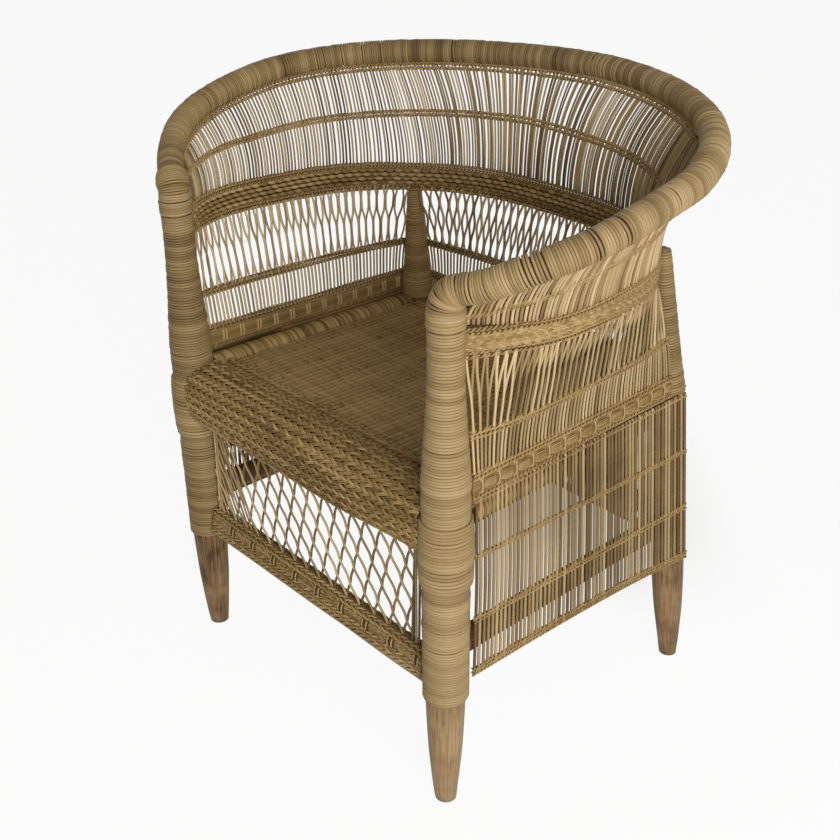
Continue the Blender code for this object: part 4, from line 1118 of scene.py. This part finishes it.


# Painted light and shade: bright lightens the stakes more on the left wall, seen from inside, than on the
# right, and darkens the extra stakes behind the right wall; row_bright lightens the right wall's twined rows
# and darkens the left's
for surf, word, share, calm, pairs, crowd, head, foot, bright, last, row_bright in (
        (SIDE, "right", right_share, quiet_end, 37, 0.10, -0.055, -0.6, 0.05, 1.0, 0.05),
        (SIDE_L, "left", left_share, None, 30, 0.0, 0.030, 0.9, 0.15, 0.977, -0.1)):
    screen = Bundle("screen_" + word)
    crossed(screen, surf, pairs, NARROW_V, 1.0, 0.00152, share, calm, crowd, along_middle(head), bright,
            (0.0, last))
    if word == "right":
        stakes(screen, surf, 17, NARROW_V, 1.0, 0.0016, 0.60, 0.985, jitter=0.10, lean=along_middle(-2.0),
               lift=-0.0030, spread=0.6, bright=-0.1)
    stakes(screen, surf, 60, LADDER_V, NARROW_V, 0.00150, jitter=0.06, lean=along_middle(foot), spread=0.8,
           bright=bright)
    screen.build(STAKE, "stake_cane", ("side_screen_" + word,))
    wall_rows("ladder_" + word, surf, "ladder_band_" + word, row_bright)
# Painted light and shade: the back's stakes are lightened and its twined rows darkened
screen = Bundle("screen_back")
crossed(screen, BACK, 34, NARROW_V, 1.0, 0.00165, back_share, bright=0.1, ends=(0.020, 0.980))
stakes(screen, BACK, 68, LADDER_V, NARROW_V, 0.00155, jitter=0.06, spread=0.8, bright=0.1)
screen.build(STAKE, "stake_cane", ("back_screen",))
wall_rows("ladder_back", BACK, "ladder_band_back", -0.1)


# Ladder bands

TICK_V = (4.2 * V_MM, 18.8 * V_MM)
TICK_SPACING = 0.0248
TICK_HALF_GAP = 0.0023
BRICK_MARGIN = 0.0040


def ladder_ticks(name, surf):
    """Strips between and below the ladder's rows, with upright pairs inside, and single uprights and bundles
    of strands outside."""
    ticks = Bundle(name)
    low, high = TICK_V
    u = np.linspace(0.0, 1.0, 160)
    for v in np.linspace(low - V_MM, high + V_MM, 6):
        tone = 0.25 + 0.25 * RNG.random()
        ticks.lay(surf, u, v, 0.0022, 0.0011, tone, -0.0004, chunk=20)
    for k in range(3):
        foot = surf.at(u, 0.0, -0.0006) - UP * (0.0022 + 0.0034 * k)
        ticks.strand(foot, surf.normal(u, 0.0), 0.0021, 0.0009, 6, 0.1 + 0.25 * RNG.random(), chunk=20)
    count = int(surf.length / TICK_SPACING)
    f = np.linspace(0.0, 1.0, 9)
    v = lerp(low - 1.5 * V_MM, high + 1.5 * V_MM, f)
    hump = np.sin(math.pi * f)
    bow = 0.0020 * hump
    lift = 0.0004 + 0.0014 * hump ** 0.6
    for i in range(count):
        middle = (i + 0.5) / count
        for k in (-1, 1):
            ticks.lay(surf, middle + k * TICK_HALF_GAP / surf.length, v, 0.0014, 0.0012, 1.3, -bow)
        ticks.lay(surf, middle, v, 0.0013, 0.0011, 0.9, bow)
        start = middle + BRICK_MARGIN / surf.length
        along = lerp(start, start + 1.0 / count - 2.0 * BRICK_MARGIN / surf.length, f)
        for k in range(5):
            level = 0.5 * (low + high) + (k - 2.0) * 2.6 * V_MM * (0.6 + 0.4 * hump)
            tone = 0.35 + 0.4 * RNG.random()
            ticks.lay(surf, along, level, 0.00115, 0.0011, tone, lift)
    ticks.build(BAND, "band_cane")


for surf, word in ((SIDE, "right"), (SIDE_L, "left"), (BACK, "back")):
    ladder_ticks("ladder_ticks_" + word, surf)


# Skirts

SKIRT_STAKE_R = 0.00195
SKIRT_STEP = 0.0042 / 0.080 * 0.25


def skirt(name, surf, node_name, count):
    """Stakes with twined rows at the hem, twice in the middle and once at the top."""
    cane = Bundle(name)
    stakes(cane, surf, count, 0.0, 1.0, SKIRT_STAKE_R, jitter=0.07, points=24, spread=0.9, bright=-0.33)
    cane.build(STAKE, "stake_cane", (node_name,))
    band = Bundle(name + "_twine")
    for level, rows in ((0.018, 3), (0.25 + 0.012, 2), (0.50 + 0.012, 2), (0.949, 1)):
        twine_rows(band, surf, level, SKIRT_STEP, rows, **SKIRT_ROW)
    # Painted shade: dark strips inside the stakes under the top row, seen through the gaps
    u = np.linspace(0.0, 1.0, 200)
    for v in np.linspace(0.80, 0.94, 5):
        band.lay(surf, u, v, 0.0020, 0.0006, -0.1, -0.0032, sides=4, chunk=25)
    band.build(BAND, "band_cane")


skirt("skirt_cane_right", SKIRT, "skirt_right", 58)
skirt("skirt_cane_left", SKIRT_L, "skirt_left", 58)
skirt("skirt_cane_back", SKIRT_B, "skirt_back", 77)


# Knitted front roll

ROLL_Y = -0.2224
ROLL_Z = 0.3630
ROLL_HALF_DEPTH = 0.033
ROLL_HALF_HEIGHT = 0.0415
KNIT_LINES = 40
KNIT = dict(radius=0.00098, swing=0.0014, rise=0.0020, pitch=0.0236, per=11, spread=0.8, bright=0.05, ply=2)


def roll_section(count, grow):
    """Points evenly round the roll's section, which is grown by a margin."""
    a = np.linspace(0.0, TURN, 721)
    y = (ROLL_HALF_DEPTH + grow) * signed_power(np.cos(a), 2.0 / ROLL_CORNER) + ROLL_Y
    z = (ROLL_HALF_HEIGHT + grow) * signed_power(np.sin(a), 2.0 / ROLL_CORNER) + ROLL_Z
    s = np.concatenate([[0.0], np.cumsum(np.hypot(np.diff(y), np.diff(z)))])
    q = np.linspace(0.0, s[-1], count, endpoint=False)
    return np.interp(q, s, y), np.interp(q, s, z)


def roll_lift(x, z):
    """The roll's underside climbs towards the right post."""
    return 0.010 * ease((x - 0.05) / 0.15) * np.clip((ROLL_Z - z) / ROLL_HALF_HEIGHT, 0.0, 1.0)


def knit_end(y, z):
    """Where a row of the knit meets the post's cane."""
    around_post = 0.0288 if z < 0.388 else 0.0268
    beside = y - front_axis(z)[1]
    return min(FRONT_X - math.sqrt(max(around_post ** 2 - beside ** 2, 0.0)), 0.2165)


ys, zs = roll_section(KNIT_LINES, -0.0026)
for word, front in (("front", True), ("rear", False)):
    knit = Bundle("seat_knit_" + word)
    for k in range(KNIT_LINES):
        if (ys[k] < ROLL_Y) != front:
            continue
        end = knit_end(ys[k], zs[k])
        x = np.linspace(-end, end, 500)
        before = (k - 1) % KNIT_LINES
        after = (k + 1) % KNIT_LINES
        along = unit(np.array([0.0, ys[after] - ys[before], zs[after] - zs[before]]))
        path = stack(x, ys[k], zs[k] + roll_lift(x, zs[k]))
        twine(knit, path, np.array([0.0, along[2], -along[1]]), hand=hand_of(k), **KNIT)
    knit.build(SEAT, "seat_cane", ("seat_front_roll",))
# Painted shade: a very dark core, seen through the knit's holes
core = Bundle("seat_knit_core")
core_y, core_z = roll_section(40, -0.0078)
ends = np.linspace(-0.203, 0.203, 30)
core.grid(np.stack([stack(e, core_y, core_z + roll_lift(e, core_z)) for e in ends]), -0.9)
core.build(DARK, "seat_cane")


# Seat deck and its wound edges

DECK_TOP = 0.394
DECK_RIBS = 51
DECK_SAG = 0.004
DECK_FRONT = -0.1889
DECK_BACK = 0.1297
DECK_INSET = 0.0170
LINE_PITCH = 0.0025
EDGE_LINES = (-0.1868, -0.1822)
EDGE_TWINE = dict(radius=0.0015, swing=0.0012, rise=0.0018, pitch=0.0236)
BACK_ROLL_Z = 0.3665
BACK_ROLL_HALF = (0.033, 0.020)
BACK_ROLL_WIND = dict(pitch=0.0038, half_width=0.0019, half_thick=0.0014)
SIDE_ROLL_R = 0.0186
SIDE_ROLL_WIND = dict(pitch=0.0026, half_width=0.00128, half_thick=0.0010, per=18, gap_chance=0.12, gap=0.6,
                      tone_spread=0.9)


def deck_half(y):
    return side_rail_x(y) - DECK_INSET


def deck_top(x, y):
    across = np.clip(x / deck_half(y), -1.0, 1.0)
    along = np.clip(2.0 * (y - DECK_FRONT) / (DECK_BACK - DECK_FRONT) - 1.0, -1.0, 1.0)
    return DECK_TOP - DECK_SAG * (1.0 - across * across) * (1.0 - along * along)


lines = np.arange(DECK_FRONT - 0.004, DECK_BACK + 0.003, LINE_PITCH)
rib_tone = tones(DECK_RIBS, 0.5)
phase = np.linspace(0.0, DECK_RIBS, 6 * DECK_RIBS + 1)
rib = np.abs(np.sin(math.pi * phase)) ** 0.8
which = np.minimum(phase.astype(int), DECK_RIBS - 1)
for part, word in enumerate(("front", "middle", "back")):
    deck = Bundle("seat_deck_" + word)
    for j, y in enumerate(lines):
        if j * 3 // len(lines) != part:
            continue
        x = deck_half(y) * (2.0 * phase / DECK_RIBS - 1.0)
        dip = (RNG.random(DECK_RIBS) < 0.05)[which]
        under = (which + j) % 2
        # Painted shade: strands are darkened in the valleys between the ribs and where they pass under; a few
        # dips are lowered and darkened as well
        z = deck_top(x, y) - 0.0007 - 0.0026 * (1.0 - rib) - (0.0014 * dip + 0.0004 * under) * rib
        tone = 0.37 + rib_tone[which] * 0.6 + 0.35 * RNG.random()
        tone = tone - 0.6 * (1.0 - rib) - 0.4 * dip - 0.12 * under
        deck.strand(stack(x, y + 0.0003 * np.sin(x / 0.011 + j), z), UP, 0.00130, 0.0007, 5, tone, chunk=51)
    if part == 0:
        y = np.linspace(DECK_FRONT - 0.003, DECK_BACK + 0.002, 40)
        for k in range(DECK_RIBS):
            x = deck_half(y) * (2.0 * (k + 0.5) / DECK_RIBS - 1.0)
            deck.strand(stack(x, y, deck_top(x, y) - 0.0040), UP, 0.0041, 0.0022, 6, 0.1)
    deck.build(SEAT, "seat_cane", ("seat_deck",))
edge = Bundle("seat_deck_edge")
for k, y in enumerate(EDGE_LINES):
    x = np.linspace(-deck_half(y), deck_half(y), 400)
    twine(edge, stack(x, y, deck_top(x, y) + 0.0010), UP, hand=hand_of(k), **EDGE_TWINE)
edge.build(SEAT, "seat_cane")


def between(start, end, first, last, count):
    """Points along a straight line, some way in from both its ends."""
    length = np.linalg.norm(end - start)
    return start + unit(end - start) * np.linspace(first, length - last, count)[:, None]


for side, word in SIDES:
    path = between(front_axis(SIDE_RAIL_Z), back_axis(SIDE_RAIL_Z), 0.0268, 0.0215, 160)
    roll = Bundle("seat_edge_" + word)
    wind(roll, mirror(path, side), SIDE_ROLL_R, **SIDE_ROLL_WIND)
    roll.build(SEAT, "seat_cane", ("seat_edge_roll_" + word,))


def wind_section(bundle, path, shape, pitch, half_width, half_thick, per=28):
    """Cane wound round a straight bar whose section is not round."""
    s = arc(path)
    _, n, b = transport(path)
    turns = int(s[-1] / pitch)
    whole = np.arange(turns + 1)
    k = np.arange(turns * per + 1) / per
    q = half_width + (s[-1] - 2 * half_width) * k / turns
    a = TURN * k
    radial = n[0] * np.cos(a)[:, None] + b[0] * np.sin(a)[:, None]
    r = shape(a) - half_thick + 0.0003 * np.interp(k, whole, RNG.standard_normal(turns + 1))
    tone = np.interp(k, whole, tones(turns + 1, 0.8))
    line = sample(q, s, path) + radial * r[:, None]
    bundle.strand(line, radial, half_width, half_thick, 6, tone, chunk=per)


def back_roll_shape(a):
    wide, high = BACK_ROLL_HALF
    sum_of_powers = np.abs(np.cos(a) / wide) ** ROLL_CORNER + np.abs(np.sin(a) / high) ** ROLL_CORNER
    return sum_of_powers ** (-1.0 / ROLL_CORNER)


roll = Bundle("seat_back_edge")
reach = back_axis(BACK_ROLL_Z)[0] - 0.0205 - 0.006
path = stack(np.linspace(-reach, reach, 90), back_axis(BACK_RAIL_Z)[1], BACK_ROLL_Z)
wind_section(roll, path, back_roll_shape, **BACK_ROLL_WIND)
roll.build(SEAT, "seat_cane", ("seat_back_roll",))


# Rails, stretchers and the pole inside the hoop


def bar(name, start, end, radius, node_name, inset, material=DARK, slot="rail_wood"):
    """A round bar, a little uneven, between two posts."""
    path = between(start, end, inset, inset, 40)
    swell = np.interp(np.linspace(0, 1, 40), np.linspace(0, 1, 7), RNG.standard_normal(7))
    r = radius * (1.0 + 0.03 * swell)
    piece = Bundle(name)
    piece.strand(path, transport(path)[1], r, r, 28, 0.5)
    piece.build(material, slot, (node_name,))


for side, word in SIDES:
    for name, node_name, z, radius, inset in (
            ("rail_side_", "seat_rail_", SIDE_RAIL_Z, 0.0140, 0.016),
            ("stretcher_side_", "stretcher_", SIDE_STRETCHER_Z, 0.0138, 0.014)):
        start = mirror(front_axis(z), side)
        end = mirror(back_axis(z), side)
        bar(name + word, start, end, radius, node_name + word, inset)
for name, node_name, axis, z, radius, inset in (
        ("rail_front", "seat_rail_front", front_axis, FRONT_RAIL_Z, 0.0145, 0.016),
        ("rail_back", "seat_rail_back", back_axis, BACK_RAIL_Z, 0.0142, 0.014),
        ("stretcher_rear", "stretcher_back", back_axis, BACK_STRETCHER_Z, 0.0132, 0.014)):
    bar(name, axis(z) * FLIP, axis(z), radius, node_name, inset)
bar("stretcher_pole", front_axis(POLE_Z) * FLIP, front_axis(POLE_Z), POLE_R, "stretcher_front", 0.018, POLE,
    "pole_cane")
core = Bundle("hoop_rod")
core.strand(HOOP, transport(HOOP)[1], HOOP_ROD_R, HOOP_ROD_R, 16, 0.3, chunk=100)
core.build(DARK, "rail_wood", ("hoop_core",))


# Lattice between the front posts

PANEL_Y = FRONT_Y + FRONT_LEAN * POLE_Z
PANEL_LOW = 0.197
PANEL_HIGH = 0.321
PANEL_X = 0.1993
STRAND_LOW = PANEL_LOW - 0.007
STRAND_HIGH = PANEL_HIGH + 0.018
CELLS = 16
CELL_ROWS = 2.5
CELL_WIDTH = 2.0 * PANEL_X / CELLS
CELL_HEIGHT = (PANEL_HIGH - PANEL_LOW) / CELL_ROWS
LATTICE_END = PANEL_X - 0.0215
BACKSLOPE = 1.40
FORESLOPE = 0.58
LATTICE_MEETS = BACKSLOPE + FORESLOPE
FRONT_LIFT = 0.0026
UPRIGHTS = ((0.1840, 0.1850), (0.1905, 0.1895), (0.1960, 0.1965), (-0.197, -0.197), (-0.193, -0.192))


def panel_point(x, z, lift):
    return stack(x, PANEL_Y - lift, z)


def slanted(start, slope, front, radius, tone, ease_in=0.55):
    """One strand from the band up to the roll; slope is in cells, and it steepens where strands meet."""
    z = np.linspace(STRAND_LOW, STRAND_HIGH, 48)
    f = (z - PANEL_LOW) / CELL_HEIGHT
    meet = TURN * LATTICE_MEETS
    x = start + slope * CELL_WIDTH * (f - ease_in * np.sin(meet * f) / meet)
    x = np.minimum(x, LATTICE_END + 0.004 * (f / CELL_ROWS) + 0.0012 * front / FRONT_LIFT)
    keep = np.abs(x) < PANEL_X + 0.003
    if keep.sum() > 5:
        lattice.strand(panel_point(x, z, front)[keep], AHEAD, radius, radius * 0.85, 6, tone)


lattice = Bundle("front_panel")
for i in range(-3, CELLS + 4):
    start = -PANEL_X + (i + 0.5) * CELL_WIDTH
    shift = 0.0026 * (RNG.random() - 0.5)
    slanted(start + shift, -BACKSLOPE, FRONT_LIFT, 0.0017, 0.15 + 0.6 * RNG.random())
    slanted(start - shift, FORESLOPE, -0.0004, 0.0016, 0.4 * RNG.random() - 0.1)
for i in range(9):
    slanted(-PANEL_X + 0.010 + 0.0085 * i, -1.0, 0.0004, 0.0015, 0.5 * RNG.random(), 0.0)
for x0, x1 in UPRIGHTS:
    z = np.linspace(STRAND_LOW, STRAND_HIGH, 16)
    x = lerp(x1, x0, (z - PANEL_LOW) / (PANEL_HIGH - PANEL_LOW))
    lattice.strand(panel_point(x, z, 0.002), AHEAD, 0.0016, 0.0014, 6, RNG.random())
lattice.build(STAKE, "stake_cane", ("front_lattice",))


# Woven band on the front pole

BAND_X = 0.2035
BAND_ROWS = (0.1965, 0.1918, 0.1755, 0.1708, 0.1662)
BAND_TWINE = dict(radius=0.00150, swing=0.0013, rise=0.0014, pitch=0.0210, per=10, spread=0.7, bright=0.15,
                  square=0.8)
BAND_FILLER = dict(radius=0.00115, swing=0.0007, rise=0.0008, pitch=0.0170, per=7, spread=0.9)
BAND_BACK_TOP = 0.1900
BAND_TOP_EDGE = ((0.0052, 0.1968), (0.0020, 0.1958), (-0.0012, 0.1942), (-0.0044, 0.1925), (-0.0076, 0.1900))
MARK_PITCH = 0.0443
MARK_FIRST_X = -0.160
MARK_Z = (0.1782, 0.1890)
MARK_LIMIT_X = 0.200
MARK_STRANDS = ((0.0, 0.0015, -0.5), (0.0036, 0.0014, 0.8), (0.0066, 0.0010, -0.4), (-0.0032, 0.0012, 0.7))


def band_lift(z):
    """How far the front of the woven band stands before the panel's middle plane at a height."""
    z = np.asarray(z, float)
    pole = np.sqrt(np.clip(POLE_R ** 2 - (z - POLE_Z) ** 2, 0.0, None)) + 0.0012
    plane = 0.0118 - 0.38 * np.clip(z - 0.184, 0.0, None)
    return np.maximum(np.where(z > 0.1695, plane, 0.0), pole)


band = Bundle("front_band")
x = np.linspace(-BAND_X, BAND_X, 300)
for face in (-1.0, 1.0):
    for k, z in enumerate(BAND_ROWS):
        level = z if face > 0.0 else min(z, BAND_BACK_TOP)
        path = panel_point(x, level, face * (band_lift(level) - 0.0006))
        twine(band, path, AHEAD * face, hand=hand_of(k), phase=1.5 * k, **BAND_TWINE)
        # Painted shade: a dark strip behind each twined row, seen through its holes
        band.strand(path, AHEAD, 0.0016, 0.0005, 4, -0.1, chunk=30)
    for k, z in enumerate(np.arange(0.1790, 0.1895, 0.0026)):
        path = panel_point(x, z, face * (band_lift(z) - 0.0012))
        twine(band, path, AHEAD * face, hand=hand_of(k), phase=1.1 * k, **BAND_FILLER)
    for z in np.arange(0.1690, 0.1925, 0.0028):
        path = panel_point(x, z, face * (band_lift(z) - 0.0030))
        band.strand(path, AHEAD, 0.0018, 0.0010, 6, 0.1, chunk=30)
for lift, z in BAND_TOP_EDGE:
    band.strand(panel_point(x, z, lift), UP, 0.0020, 0.0010, 6, 0.5 + 0.3 * RNG.random(), chunk=30)
z = np.linspace(*MARK_Z, 9)
for i in range(9):
    for shift, width, tone in MARK_STRANDS:
        lift = band_lift(z) + (0.0008 if tone > 0.0 else 0.0004)
        place = panel_point(MARK_FIRST_X + i * MARK_PITCH + shift, z, lift)
        if abs(place[0, 0]) < MARK_LIMIT_X:
            band.strand(place, AHEAD, width, 0.0007, 6, tone)
band.build(BAND, "band_cane", ("front_woven_band",))


# Floor, light and camera

WHITE = (1.0, 1.0, 1.0, 1.0)
FLOOR_COLOUR = (0.80, 0.80, 0.80, 1.0)
FLOOR_HALF = 9
LIT_GLOW = 0.93
# Painted shadow: inside a fixed patch behind the chair the floor's glow drops to SHADED_GLOW
SHADED_GLOW = 0.36
PAINTED_SHADOW_EDGES = (((-0.735, 0.678, 0.0), (0.00, 0.34), (0.45, 1.05)),
                ((0.678, 0.735, 0.0), (-0.12, 0.12), (0.18, 0.50)))
SKY_COLOUR = (1.0, 0.95, 0.85, 1.0)
SKY_STRENGTH = 0.23
LAMPS = (("key", (1.9, -1.05, 1.10), (0.0, 0.0, 0.4), 1.3, 49.0),
         ("top", (0.4, -0.6, 3.0), (0.0, 0.0, 0.3), 2.4, 3.0),
         ("fill", (-1.6, -2.9, 1.3), (0.0, 0.0, 0.4), 2.2, 7.0))
CAMERA_LENS = 52.50
CAMERA_FRAME = ((0.67700, -0.34257, 0.65139, 0.99241), (0.73597, 0.31120, -0.60125, -0.96877),
                (0.00325, 0.88645, 0.46281, 1.04932), (0.0, 0.0, 0.0, 1.0))


def math_of(tree, operation, first, second):
    """The output of a math node between two sockets."""
    made = node(tree, "Math", operation)
    tree.links.new(first, made.inputs[0])
    tree.links.new(second, made.inputs[1])
    return made.outputs["Value"]


def mixed(tree, share, first, second, output):
    """Two shaders mixed by a socket, as the output's surface."""
    mix = node(tree, "MixShader")
    tree.links.new(share, mix.inputs["Fac"])
    tree.links.new(first, mix.inputs[1])
    tree.links.new(second, mix.inputs[2])
    tree.links.new(mix.outputs["Shader"], tree.nodes[output].inputs["Surface"])


def seen(tree):
    """A socket that is 1 for what the camera sees, also in a mirror or through glass."""
    path = node(tree, "LightPath")
    most = path.outputs["Is Camera Ray"]
    for ray in ("Is Glossy Ray", "Is Transmission Ray"):
        most = math_of(tree, "MAXIMUM", most, path.outputs[ray])
    return most


def painted_shadow_patch(tree):
    """A socket that rises softly to 1 inside fixed edges on the floor behind the chair: a painted shadow
    patch, where the floor greys even where lit and the lamps' real shadow shows more.
    """
    where = node(tree, "NewGeometry")
    result = None
    for way, rise, fall in PAINTED_SHADOW_EDGES:
        along = node(tree, "VectorMath", "DOT_PRODUCT")
        along.inputs[1].default_value = way
        tree.links.new(where.outputs["Position"], along.inputs[0])
        for low, high in (rise, fall[::-1]):
            edge = node(tree, "MapRange", From_Min=low, From_Max=high)
            edge.interpolation_type = "SMOOTHSTEP"
            tree.links.new(along.outputs["Value"], edge.inputs["Value"])
            part = edge.outputs["Result"]
            result = part if result is None else math_of(tree, "MULTIPLY", result, part)
    return result


def floor():
    mesh = bpy.data.meshes.new("floor")
    corner = FLOOR_HALF
    mesh.from_pydata([(-corner, -corner, 0), (corner, -corner, 0), (corner, corner, 0), (-corner, corner, 0)],
                     [], [(0, 1, 2, 3)])
    piece = bpy.data.objects.new("floor", mesh)
    bpy.context.scene.collection.objects.link(piece)
    material = bpy.data.materials.new("floor")
    material.use_nodes = True
    tree = material.node_tree
    shader = tree.nodes["Principled BSDF"]
    shader.inputs["Base Color"].default_value = FLOOR_COLOUR
    shader.inputs["Roughness"].default_value = 0.9
    shader.inputs["Specular IOR Level"].default_value = 0.1
    glow = node(tree, "Emission", Color=WHITE, Strength=1.0)
    # Painted shadow: the glow is lowered inside the patch, so the floor greys there
    shade = node(tree, "MapRange", To_Min=LIT_GLOW, To_Max=SHADED_GLOW)
    tree.links.new(painted_shadow_patch(tree), shade.inputs["Value"])
    share = math_of(tree, "MULTIPLY", seen(tree), shade.outputs["Result"])
    mixed(tree, share, shader.outputs["BSDF"], glow.outputs["Emission"], "Material Output")
    mesh.materials.append(material)


def lamp(name, place, aim, size, power):
    data = bpy.data.lights.new(name, "AREA")
    data.shape = "DISK"
    data.size = size
    data.energy = power
    piece = bpy.data.objects.new(name, data)
    bpy.context.scene.collection.objects.link(piece)
    back = unit(np.array(place, float) - np.array(aim, float))
    right = unit(np.cross(UP, back))
    grid = np.eye(4)
    grid[:3, 0] = right
    grid[:3, 1] = np.cross(back, right)
    grid[:3, 2] = back
    grid[:3, 3] = place
    piece.matrix_world = Matrix(grid.tolist())


def world():
    sky = bpy.data.worlds.new("studio")
    sky.use_nodes = True
    tree = sky.node_tree
    soft = tree.nodes["Background"]
    soft.inputs["Color"].default_value = SKY_COLOUR
    soft.inputs["Strength"].default_value = SKY_STRENGTH
    white = node(tree, "Background", Color=WHITE, Strength=1.0)
    mixed(tree, seen(tree), soft.outputs["Background"], white.outputs["Background"], "World Output")
    bpy.context.scene.world = sky


floor()
world()
for settings in LAMPS:
    lamp(*settings)

camera = bpy.data.cameras.new("photo_view")
camera.lens = CAMERA_LENS
camera.sensor_width = 36.0
camera_piece = bpy.data.objects.new("photo_view", camera)
bpy.context.scene.collection.objects.link(camera_piece)
camera_piece.matrix_world = Matrix(CAMERA_FRAME)
bpy.context.scene.camera = camera_piece
bpy.context.scene.view_settings.view_transform = "Standard"
